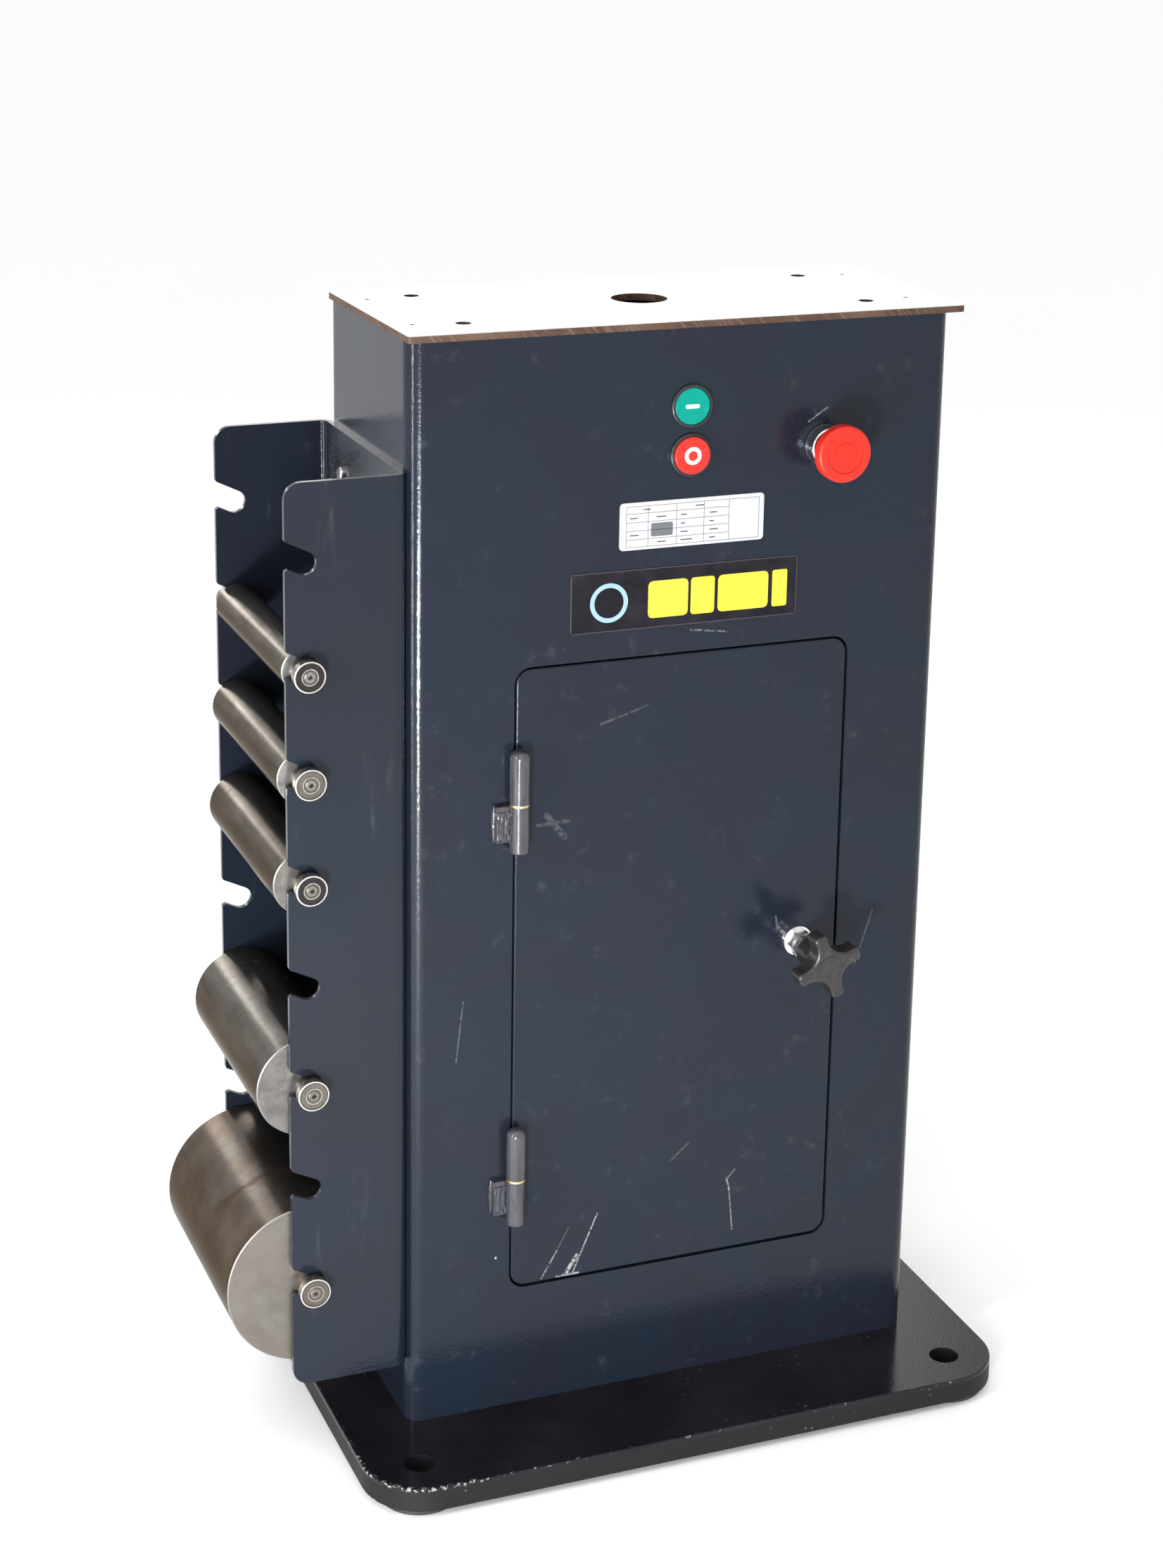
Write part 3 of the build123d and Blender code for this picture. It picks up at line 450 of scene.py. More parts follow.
@dataclass(frozen=True)
class TurnedSteel:
    """Lathe-turned steel with feed marks round the axis, browning, pits, run marks and painted shade on the
    lower side of the drum.
    """

    name: str
    axis: tuple[float, float]
    radius: float
    half: float
    patina: Patina

    def make(self) -> bpy.types.Material:
        """Build the material."""
        brown, bright, pitted = self.patina.value
        paint = Paint(self.name)
        local = paint.vector("SUBTRACT", paint.place, (self.axis[0], 0.0, self.axis[1]))
        x, y, z = paint.axes(local)
        reach = (x * x + z * z).math("SQRT")
        on_end = abs(y).rise(self.half - 0.0012, self.half - 0.0006)
        turn = z.math("ARCTAN2", x)
        feed = paint.noise(1.0, 2.0, paint.combine(y * 3600.0, reach * 4400.0, 0.0))
        streak = paint.noise(1.0, 4.0, paint.combine(y * 900.0, reach * 1300.0, turn * 1.5), rough=0.7)
        soft = paint.noise(24.0, 5.0, local, rough=0.6)
        broad = paint.noise(7.5, 3.0, local, warp=0.8)
        grain = paint.combine(y * 14.0, turn * 2.2, reach * 90.0)
        polish = paint.noise(1.0, 5.0, grain, rough=0.62, warp=0.4)
        tone = streak * 0.35 + polish * 0.65
        steel = paint.blend(tone.rise(0.32, 0.66), self._grey(0.66 * bright), self._grey(1.22 * bright))
        stain = paint.blend(soft.rise(0.35, 0.68), (0.080, 0.058, 0.044), (0.140, 0.108, 0.085))
        stain = paint.blend(on_end * 0.8, stain, (0.20, 0.175, 0.155))
        share = (broad.rise(0.30, 0.62) * 0.55 + 0.45) * brown
        colour = paint.blend(share, steel, stain)
        # Painted shade: the lower side of the drum is darkened in place of a dark floor's reflection.
        under = (z * 0.80 + x * 0.50).rise(self.radius * 0.20, self.radius * -0.75) * (1.0 - on_end)
        colour = paint.blend(under * 0.80, colour, (0.050, 0.039, 0.032))
        run = self._run_mark(paint, local, x, y, z)
        colour = paint.blend(run, colour, (0.050, 0.030, 0.020))
        pits = paint.cells(95.0, local).rise(0.17, 0.09) * paint.noise(19.0, 3.0, local).rise(0.56, 0.66)
        fine = paint.cells(260.0, local).rise(0.14, 0.08) * paint.noise(33.0, 2.0, local).rise(0.52, 0.62)
        pits = pits.most(fine) * pitted
        colour = paint.blend(pits, colour, (0.022, 0.019, 0.018))
        rim = reach.rise(self.radius - 0.0012, self.radius - 0.0005)
        rub = rim * abs(y).rise(self.half - 0.0016, self.half - 0.0008)
        colour = paint.blend(rub * 0.35, colour, self._grey(0.45))
        rough = 0.10 + share * 0.12 + polish * 0.12 + pits * 0.3 + on_end * 0.14
        paint.bump(feed * 0.3 + streak * 0.3 + polish * 2.0 - pits * 3.0, 0.000025)
        paint.set(Base_Color=colour, Roughness=rough, Metallic=0.90 - pits * 0.6 - run * 0.25)
        paint.set(Specular_Tint=(0.42, 0.38, 0.34))
        return paint.material

    def _grey(self, value: float) -> Colour:
        """Neutral steel colour, a little warm."""
        return (value, value * 0.985, value * 0.95)

    def _run_mark(self, paint: Paint, local: Signal, x: Signal, y: Signal, z: Signal) -> Signal:
        """Edge of a dried liquid run down the front of a browned roller, or nothing much on a bright one."""
        wander = (paint.noise(55.0, 3.0, local) - 0.5) * 0.020
        edge = abs(y + wander + z * 0.25 + 0.012)
        upper = z.rise(self.radius * 0.1, self.radius * 0.55)
        amount = 0.62 if self.patina is Patina.BROWN else 0.08
        return edge.rise(0.0052, 0.0012) * upper * amount


@dataclass(frozen=True)
class GroundSteel:
    """Bright bearing, screw or pin steel with fine circular grinding lines."""

    name: str
    colour: Colour = (0.62, 0.61, 0.59)
    rough: float = 0.24
    grime: float = 0.35
    lines: float = 900.0

    def make(self) -> bpy.types.Material:
        """Build the material."""
        paint = Paint(self.name)
        x, y, z = paint.axes()
        lines = paint.noise(1.0, 2.0, paint.combine(y * self.lines, z * 60.0, x * 60.0))
        dirt = paint.noise(260.0, 5.0, rough=0.65).rise(0.48, 0.75) * self.grime
        tone = paint.blend(lines.rise(0.3, 0.7), tuple(c * 0.82 for c in self.colour), self.colour)
        colour = paint.blend(dirt, tone, (0.085, 0.066, 0.050))
        paint.bump(lines, 0.000012)
        paint.set(Base_Color=colour, Roughness=self.rough + dirt * 0.4, Metallic=1.0 - dirt * 0.5)
        return paint.material


@dataclass(frozen=True)
class BearingSteel:
    """Bearing face: bright rims, painted shade in the groove beside the seal and oily rings nearer the bore.
    """

    name: str
    centre_x: float
    top: float
    pitch: float
    face: float

    def make(self) -> bpy.types.Material:
        """Build the material."""
        paint = Paint(self.name)
        x, y, z = paint.axes()
        row = (z - self.top) * (1.0 / self.pitch)
        dz = (row - row.math("ROUND")) * self.pitch
        dx = x - self.centre_x
        reach = (dx * dx + dz * dz).math("SQRT")
        end = abs(y).rise(self.face - 0.0009, self.face - 0.0004)
        rim = reach.rise(0.00985, 0.01030)
        # Painted shade: a near-black band where the groove beside the seal lies in shade.
        groove = reach.rise(0.00985, 0.00960) * reach.rise(0.00890, 0.00915)
        line = abs(reach - 0.0056).rise(0.00030, 0.00008)
        bore = reach.rise(0.0052, 0.0048)
        dirt = paint.noise(300.0, 5.0, rough=0.65).rise(0.42, 0.72)
        colour = paint.blend(dirt * 0.45, (0.20, 0.18, 0.155), (0.075, 0.060, 0.048))
        colour = paint.blend(rim * end * (1.0 - dirt * 0.5), colour, (0.62, 0.60, 0.56))
        colour = paint.blend(groove * end * 0.9, colour, (0.012, 0.010, 0.009))
        colour = paint.blend(bore * end * 0.6, colour, (0.030, 0.022, 0.017))
        colour = paint.blend(line * end * 0.8, colour, (0.50, 0.46, 0.40))
        paint.bump(groove * -1.0 + dirt * 0.1, 0.0002)
        paint.set(Base_Color=colour, Roughness=0.22 + dirt * 0.25, Metallic=0.9 - dirt * 0.3)
        return paint.material


@dataclass(frozen=True)
class Moulded:
    """Moulded plastic or rubber with a fine spark-eroded grain and rubbed spots."""

    name: str
    colour: Colour
    rubbed: Colour
    rough: float = 0.35
    grain: float = 1500.0
    depth: float = 0.00002
    level: float = 0.5

    def make(self) -> bpy.types.Material:
        """Build the material."""
        paint = Paint(self.name)
        soft = paint.noise(90.0, 4.0, rough=0.6)
        rub = paint.noise(210.0, 5.0, rough=0.7).rise(0.52, 0.78)
        colour = paint.blend(rub * 0.55 + soft * 0.15, self.colour, self.rubbed)
        paint.bump(paint.noise(self.grain, 2.0), self.depth)
        paint.set(Base_Color=colour, Roughness=self.rough + rub * 0.12, Specular_IOR_Level=self.level)
        return paint.material


@dataclass(frozen=True)
class PrintedFilm:
    """Label stock with a soft gloss, faint print grain and a slightly aged rim."""

    name: str
    colour: Colour
    rim: Colour
    centre: tuple[float, float]
    half: tuple[float, float]
    rim_width: float
    rough: float = 0.3
    level: float = 0.4

    def make(self) -> bpy.types.Material:
        """Build the material."""
        paint = Paint(self.name)
        x, _, z = paint.axes()
        inset_x = self.half[0] - abs(x - self.centre[0])
        inset_z = self.half[1] - abs(z - self.centre[1])
        border = inset_x.least(inset_z).rise(self.rim_width, self.rim_width * 0.5)
        age = paint.noise(45.0, 4.0, rough=0.6).rise(0.40, 0.78)
        colour = paint.blend(age * 0.18, self.colour, self.rim)
        colour = paint.blend(border, colour, self.rim)
        paint.bump(paint.noise(800.0, 2.0), 0.000008)
        paint.set(Base_Color=colour, Roughness=self.rough + age * 0.08, Specular_IOR_Level=self.level)
        return paint.material


@dataclass(frozen=True)
class Brazed:
    """Brass or yellow-passivated metal, dulled by handling."""

    name: str
    colour: Colour
    rough: float = 0.28

    def make(self) -> bpy.types.Material:
        """Build the material."""
        paint = Paint(self.name)
        dull = paint.noise(300.0, 5.0, rough=0.65).rise(0.42, 0.74)
        colour = paint.blend(dull, self.colour, tuple(c * 0.45 for c in self.colour))
        paint.bump(paint.noise(2200.0, 2.0), 0.00001)
        paint.set(Base_Color=colour, Roughness=self.rough + dull * 0.2, Metallic=1.0)
        return paint.material


@dataclass(frozen=True)
class GlossPaint:
    """Thick brushed paint over a weld, wavy and shiny."""

    name: str

    def make(self) -> bpy.types.Material:
        """Build the material."""
        paint = Paint(self.name)
        flow = paint.noise(95.0, 3.0, paint.stretched((1.0, 1.0, 0.25)), warp=1.2)
        colour = paint.blend(flow.rise(0.35, 0.65), (0.022, 0.024, 0.031), (0.040, 0.038, 0.044))
        worn = paint.noise(340.0, 4.0, rough=0.65).rise(0.68, 0.76)
        colour = paint.blend(worn * 0.6, colour, (0.30, 0.24, 0.20))
        paint.bump(flow + paint.noise(620.0, 2.0) * 0.12, 0.00028)
        paint.set(Base_Color=colour, Roughness=0.12 + worn * 0.3, Specular_IOR_Level=0.6)
        return paint.material


@dataclass(frozen=True)
class RackCoat:
    """Coat of the rack, with the notches rubbed to bare steel and its upward-facing edges tinted a lighter
    brown.
    """

    name: str
    notches: tuple[tuple[float, float], ...]
    neck: float = 0.008

    def make(self) -> bpy.types.Material:
        """Build the material."""
        paint = Paint(self.name)
        x, _, z = paint.axes()
        rubbed = None
        for cx, cz in self.notches:
            away_x, away_z = x - cx, z - cz
            reach = (away_x * away_x + away_z * away_z).math("SQRT")
            ring = reach.rise(self.neck + 0.0013, self.neck + 0.0003)
            rubbed = ring if rubbed is None else rubbed.most(ring)
        rubbed = rubbed * paint.noise(210.0, 4.0).rise(0.36, 0.6)
        mottle = paint.noise(9.0, 4.0, warp=0.6).rise(0.34, 0.66)
        colour = paint.blend(mottle, (0.0075, 0.0112, 0.0178), (0.0090, 0.0102, 0.0160))
        # Upward-facing faces are tinted a lighter brown.
        edge = paint.facing()[2].rise(0.75, 0.95)
        colour = paint.blend(edge * 0.30, colour, (0.13, 0.115, 0.105))
        streaks = paint.noise(70.0, 5.0, paint.stretched((1.0, 1.0, 0.12)), rough=0.7).rise(0.60, 0.78)
        colour = paint.blend(streaks * 0.10, colour, (0.20, 0.20, 0.21))
        colour = paint.blend(rubbed, colour, (0.42, 0.40, 0.37))
        rough = 0.10 + streaks * 0.12 + paint.noise(2.3, 2.0) * 0.05
        paint.bump(paint.noise(430.0, 2.0) + paint.noise(150.0, 3.0) * 0.4, 0.00013)
        paint.set(Base_Color=colour, Roughness=rough, Metallic=rubbed * 0.8, Specular_IOR_Level=0.28)
        return paint.material


# ------------------------------------------------------------------ modelling helpers

FaceTest = Callable[[Vector, Vector], bool]


class Bench:
    """Hand modelling of one piece at a time in edit mode."""

    def __init__(self, name: str) -> None:
        """Remember the name of the piece on the bench."""
        self.name = name
        self.piece: bpy.types.Object | None = None

    def begin(self, add: Callable[..., set], **options: object) -> "Bench":
        """Add the starting primitive with nothing else selected, and enter edit mode with nothing picked."""
        bpy.ops.object.select_all(action="DESELECT")
        add(**options)
        self.piece = bpy.context.object
        self.piece.name = self.name
        self.piece.data.name = self.name
        self._apply_place()
        self.edit()
        return self

    def edit(self) -> "Bench":
        """Enter edit mode with nothing picked."""
        bpy.ops.object.mode_set(mode="EDIT")
        bpy.ops.mesh.select_all(action="DESELECT")
        return self

    def _apply_place(self) -> None:
        """Put the piece's place into its mesh."""
        bpy.ops.object.transform_apply(location=True, rotation=True, scale=True)

    def faces(self, test: FaceTest) -> "Bench":
        """Pick the faces whose centre and normal pass a test."""
        bpy.ops.mesh.select_mode(type="FACE")
        mesh = bmesh.from_edit_mesh(self.piece.data)
        for face in mesh.faces:
            face.select_set(bool(test(face.calc_center_median(), face.normal)))
        mesh.select_flush_mode()
        bmesh.update_edit_mesh(self.piece.data)
        return self

    def edges(self, test: Callable[[Vector, Vector], bool]) -> "Bench":
        """Pick the edges whose two ends pass a test."""
        bpy.ops.mesh.select_mode(type="EDGE")
        mesh = bmesh.from_edit_mesh(self.piece.data)
        for edge in mesh.edges:
            a, b = (vert.co for vert in edge.verts)
            edge.select_set(bool(test(a, b)))
        mesh.select_flush_mode()
        bmesh.update_edit_mesh(self.piece.data)
        return self

    def points(self, test: Callable[[Vector], bool]) -> "Bench":
        """Pick the points that pass a test."""
        bpy.ops.mesh.select_mode(type="VERT")
        mesh = bmesh.from_edit_mesh(self.piece.data)
        for vert in mesh.verts:
            vert.select_set(bool(test(vert.co)))
        mesh.select_flush_mode()
        bmesh.update_edit_mesh(self.piece.data)
        return self

    def bevel(self, width: float, steps: int = 3) -> "Bench":
        """Round the picked edges."""
        bpy.ops.mesh.bevel(offset=width, segments=steps, affect="EDGES", clamp_overlap=True)
        bpy.ops.mesh.select_all(action="DESELECT")
        return self

    def inset(self, width: float, depth: float = 0.0) -> "Bench":
        """Inset the picked faces and push them in by a depth."""
        bpy.ops.mesh.inset(thickness=width, depth=depth, use_boundary=True)
        return self

    def tunnel(self) -> "Bench":
        """Bridge the two picked loops or faces."""
        bpy.ops.mesh.bridge_edge_loops()
        bpy.ops.mesh.select_all(action="DESELECT")
        return self

    def done(
        self, material: bpy.types.Material, slot: str, body: str, smooth: float = 32.0
    ) -> bpy.types.Object:
        """Finish the piece.

        Args:
            material: Its finish.
            slot: The record's material slot; not used.
            body: The body that it rides on.
            smooth: Angle in degrees under which faces are shaded smooth.

        Returns:
            The finished object.
        """
        bpy.ops.mesh.select_mode(type="VERT")
        bpy.ops.mesh.select_all(action="SELECT")
        bpy.ops.mesh.remove_doubles(threshold=1e-6)
        bpy.ops.mesh.normals_make_consistent(inside=False)
        bpy.ops.object.mode_set(mode="OBJECT")
        bpy.ops.object.shade_smooth_by_angle(angle=math.radians(smooth))
        piece = self.piece
        piece.data.materials.clear()
        piece.data.materials.append(material)
        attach(piece, body)
        bpy.ops.object.select_all(action="DESELECT")
        log.info("piece %s on %s, %d faces", piece.name, body, len(piece.data.polygons))
        return piece

    def modifier(self, kind: str, **settings: object) -> "Bench":
        """Add a modifier and apply it at once."""
        bpy.ops.object.mode_set(mode="OBJECT")
        added = self.piece.modifiers.new(kind.title(), kind)
        for name, value in settings.items():
            setattr(added, name, value)
        bpy.ops.object.modifier_apply(modifier=added.name)
        return self.edit()


def scatter(bench: Bench, moves: Iterable[Point]) -> None:
    """Copy what is on the bench to further places, as separate shells of the same piece."""
    bpy.ops.object.mode_set(mode="OBJECT")
    first = bench.piece
    copies = []
    for move in moves:
        copy = first.copy()
        copy.data = first.data.copy()
        copy.data.transform(Matrix.Translation(Vector(move)))
        bpy.context.scene.collection.objects.link(copy)
        copies.append(copy)
    bpy.ops.object.select_all(action="DESELECT")
    for each in (*copies, first):
        each.select_set(True)
    bpy.context.view_layer.objects.active = first
    bpy.ops.object.join()
    bench.edit()


def bars(name: str, spans: Sequence[tuple[float, float, float, float]], y: float, proud: float) -> Bench:
    """Thin printed bars on a front plate.

    Args:
        name: Name of the piece.
        spans: Left, right, bottom and top of each bar.
        y: Plane of the plate's face.
        proud: How far a bar stands out of it.

    Returns:
        The bench with all the bars as one piece.
    """
    bench = Bench(name)
    made: list[bpy.types.Object] = []
    for left, right, low, high in spans:
        middle = ((left + right) / 2, y - proud / 2, (low + high) / 2)
        span = (right - left, proud, high - low)
        bench.begin(bpy.ops.mesh.primitive_cube_add, size=1.0, location=middle, scale=span)
        soft = min(right - left, high - low) * 0.12
        bench.edges(lambda a, b: abs(a.y - b.y) > proud * 0.5).bevel(soft, 2)
        bpy.ops.object.mode_set(mode="OBJECT")
        made.append(bench.piece)
    bpy.ops.object.select_all(action="DESELECT")
    for piece in made:
        piece.select_set(True)
    bpy.context.view_layer.objects.active = made[0]
    bpy.ops.object.join()
    bench.piece = made[0]
    bench.piece.name = name
    return bench.edit()


def dress(frame: dict, material: bpy.types.Material, *nodes: str) -> None:
    """Give CAD nodes a finish."""
    for name in nodes:
        mesh = frame["nodes"][name].data
        mesh.materials.clear()
        mesh.materials.append(material)
        log.info("node %s dressed as %s", name, material.name)


# ------------------------------------------------------------------ sub-assemblies


@dataclass
class Studio:
    """Pale floor, soft light and the camera."""

    place: Point = (-0.7781, -1.8394, 1.1683)
    yaw: float = 21.85
    pitch: float = 14.95
    roll: float = -0.92
    lens: float = 66.02
    shift: float = -0.150
    floor_side: float = 40.0
    sky: float = 1.03

    def build(self) -> None:
        """Make the floor, the world, the lamps and the camera."""
        bpy.context.scene.view_settings.view_transform = "Standard"
        self._floor()
        self._world()
        self._lamp("key", (-0.86, -1.34, 0.16), (0.05, -0.09, 0.50), (0.17, 0.17), 31.0)
        self._lamp(
            "low_front", (-0.60, -1.25, 0.38), (-0.2, 0.05, 0.70), (0.16, 0.16), 5.0, (0.78, 0.88, 1.0)
        )
        self._lamp("rim", (-0.71, 2.05, 1.07), (-0.27, 0.0, 0.45), (0.50, 0.35), 3.5)
        self._lamp("strip", (-1.75, -0.75, 0.75), (-0.2, 0.0, 0.45), (0.06, 1.5), 25.0)
        self._lamp("top_fill", (-0.9, -1.8, 2.9), (0.0, 0.0, 0.4), (1.8, 1.8), 12.0)
        self._lamp("back_fill", (0.8, 2.4, 1.9), (0.0, 0.0, 0.4), (1.6, 1.6), 9.0)
        self._camera()

    def _floor(self) -> None:
        """Large pale floor with a soft sheen."""
        bpy.ops.object.select_all(action="DESELECT")
        bpy.ops.mesh.primitive_plane_add(size=self.floor_side, location=(0.0, 0.0, -0.0002))
        floor = bpy.context.object
        floor.name = "floor"
        paint = Paint("pale_floor")
        cloud = paint.noise(1.4, 3.0)
        paint.set(Base_Color=paint.blend(cloud, (0.93, 0.93, 0.93), (0.945, 0.945, 0.945)), Roughness=0.6)
        floor.data.materials.append(paint.material)
        floor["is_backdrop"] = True

    def _world(self) -> None:
        """Even white surroundings."""
        world = bpy.data.worlds.new("studio")
        world.use_nodes = True
        back = world.node_tree.nodes["Background"]
        back.inputs[0].default_value = (1.0, 1.0, 1.0, 1.0)
        back.inputs[1].default_value = self.sky
        bpy.context.scene.world = world

    def _lamp(
        self,
        name: str,
        place: Point,
        target: Point,
        size: tuple[float, float],
        power: float,
        tint: Colour = (1.0, 1.0, 1.0),
    ) -> None:
        """Soft box of a width and height, aimed at a point."""
        data = bpy.data.lights.new(name, "AREA")
        data.shape = "RECTANGLE"
        data.size, data.size_y = size
        data.energy = power
        data.color = tint
        lamp = bpy.data.objects.new(name, data)
        lamp.visible_camera = False
        lamp.location = place
        lamp.rotation_euler = (Vector(target) - Vector(place)).to_track_quat("-Z", "Y").to_euler()
        bpy.context.scene.collection.objects.link(lamp)

    def _camera(self) -> None:
        """Portrait camera a little above the object, turned to its left side."""
        yaw, pitch, roll = (math.radians(a) for a in (self.yaw, self.pitch, self.roll))
        ahead = Vector((math.sin(yaw) * math.cos(pitch), math.cos(yaw) * math.cos(pitch), -math.sin(pitch)))
        side = Vector((math.cos(yaw), -math.sin(yaw), 0.0))
        down = ahead.cross(side)
        right = math.cos(roll) * side + math.sin(roll) * down
        low = -math.sin(roll) * side + math.cos(roll) * down
        data = bpy.data.cameras.new("camera")
        data.lens, data.sensor_width, data.shift_y = self.lens, 36.0, self.shift
        camera = bpy.data.objects.new("camera", data)
        turn = Matrix((right, -low, -ahead)).transposed().to_4x4()
        camera.matrix_world = Matrix.Translation(Vector(self.place)) @ turn
        bpy.context.scene.collection.objects.link(camera)
        bpy.context.scene.camera = camera


@dataclass
class Finishes:
    """Finishes shared by several sub-assemblies."""

    def __post_init__(self) -> None:
        """Make each shared material once."""
        self.coat = PowderCoat("anthracite_coat").make()
        self.gloss_coat = GlossPaint("brushed_paint").make()
        self.screw = GroundSteel("zinc_screw", (0.60, 0.60, 0.60), 0.30, 0.30).make()
        self.nut = GroundSteel("bright_nut", (0.90, 0.90, 0.89), 0.26, 0.12).make()
        self.bearing = BearingSteel("bearing_ring", -0.2714, 0.6714, 0.075, 0.1010).make()
        self.shield = GroundSteel("bearing_shield", (0.15, 0.135, 0.118), 0.34, 0.60).make()
        self.chrome = GroundSteel("chromed_collar", (0.88, 0.88, 0.88), 0.08, 0.05).make()
        self.spring = GroundSteel("spring_wire", (0.55, 0.55, 0.56), 0.30, 0.20).make()
        self.brass = Brazed("brass_washer", (0.86, 0.60, 0.27)).make()
        self.rubber = Moulded(
            "black_rubber", (0.012, 0.012, 0.012), (0.05, 0.05, 0.05), 0.62, 900.0, 0.00005
        ).make()
        self.seal = Moulded(
            "bearing_seal", (0.006, 0.005, 0.005), (0.020, 0.016, 0.013), 0.45, level=0.25
        ).make()
        self.black = Moulded("black_grip", (0.012, 0.011, 0.011), (0.070, 0.062, 0.058), 0.28).make()
        self.bezel = Moulded("black_bezel", (0.010, 0.010, 0.011), (0.05, 0.05, 0.05), 0.24).make()
        self.grey = Moulded("grey_housing", (0.20, 0.21, 0.22), (0.32, 0.33, 0.34), 0.42).make()
        self.green = Moulded("green_cap", (0.0, 0.185, 0.140), (0.0, 0.23, 0.175), 0.26, level=0.16).make()
        self.red = Moulded("red_cap", (0.45, 0.018, 0.013), (0.50, 0.04, 0.03), 0.26, level=0.25).make()
        self.mushroom = Moulded(
            "mushroom_red", (0.46, 0.015, 0.007), (0.52, 0.035, 0.022), 0.30, level=0.3
        ).make()
        self.white = Moulded("white_mark", (0.44, 0.44, 0.43), (0.38, 0.38, 0.37), 0.35).make()
        self.grey_ink = Moulded("grey_ink", (0.09, 0.095, 0.10), (0.14, 0.145, 0.15), 0.5, level=0.2).make()
        self.dark_ink = Moulded("dark_ink", (0.018, 0.018, 0.020), (0.05, 0.05, 0.052), 0.5, level=0.2).make()
        self.yellow_ink = Moulded(
            "yellow_ink", (0.43, 0.385, 0.035), (0.38, 0.33, 0.04), 0.42, level=0.2
        ).make()
        self.blue_ink = Moulded("blue_ink", (0.20, 0.31, 0.38), (0.26, 0.34, 0.40), 0.42, level=0.2).make()
        self.foam = Moulded(
            "seal_foam", (0.020, 0.020, 0.021), (0.045, 0.045, 0.045), 0.9, 1400.0, 0.00025
        ).make()


@dataclass
class Foot:
    """Base plate on four pads."""

    def dress(self, frame: dict, finishes: Finishes) -> None:
        """Coat the plate and the pads."""
        low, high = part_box("base_plate")
        half = (high.x, high.y)
        chips = (low.x + 0.03, low.y + 0.02, low.z)
        dress(frame, PlateCoat("base_coat", half, 0.045, high.z, chips).make(), "base_plate")
        dress(frame, finishes.rubber, "foot_pads")
        dress(frame, finishes.screw, "cabinet_bolts")


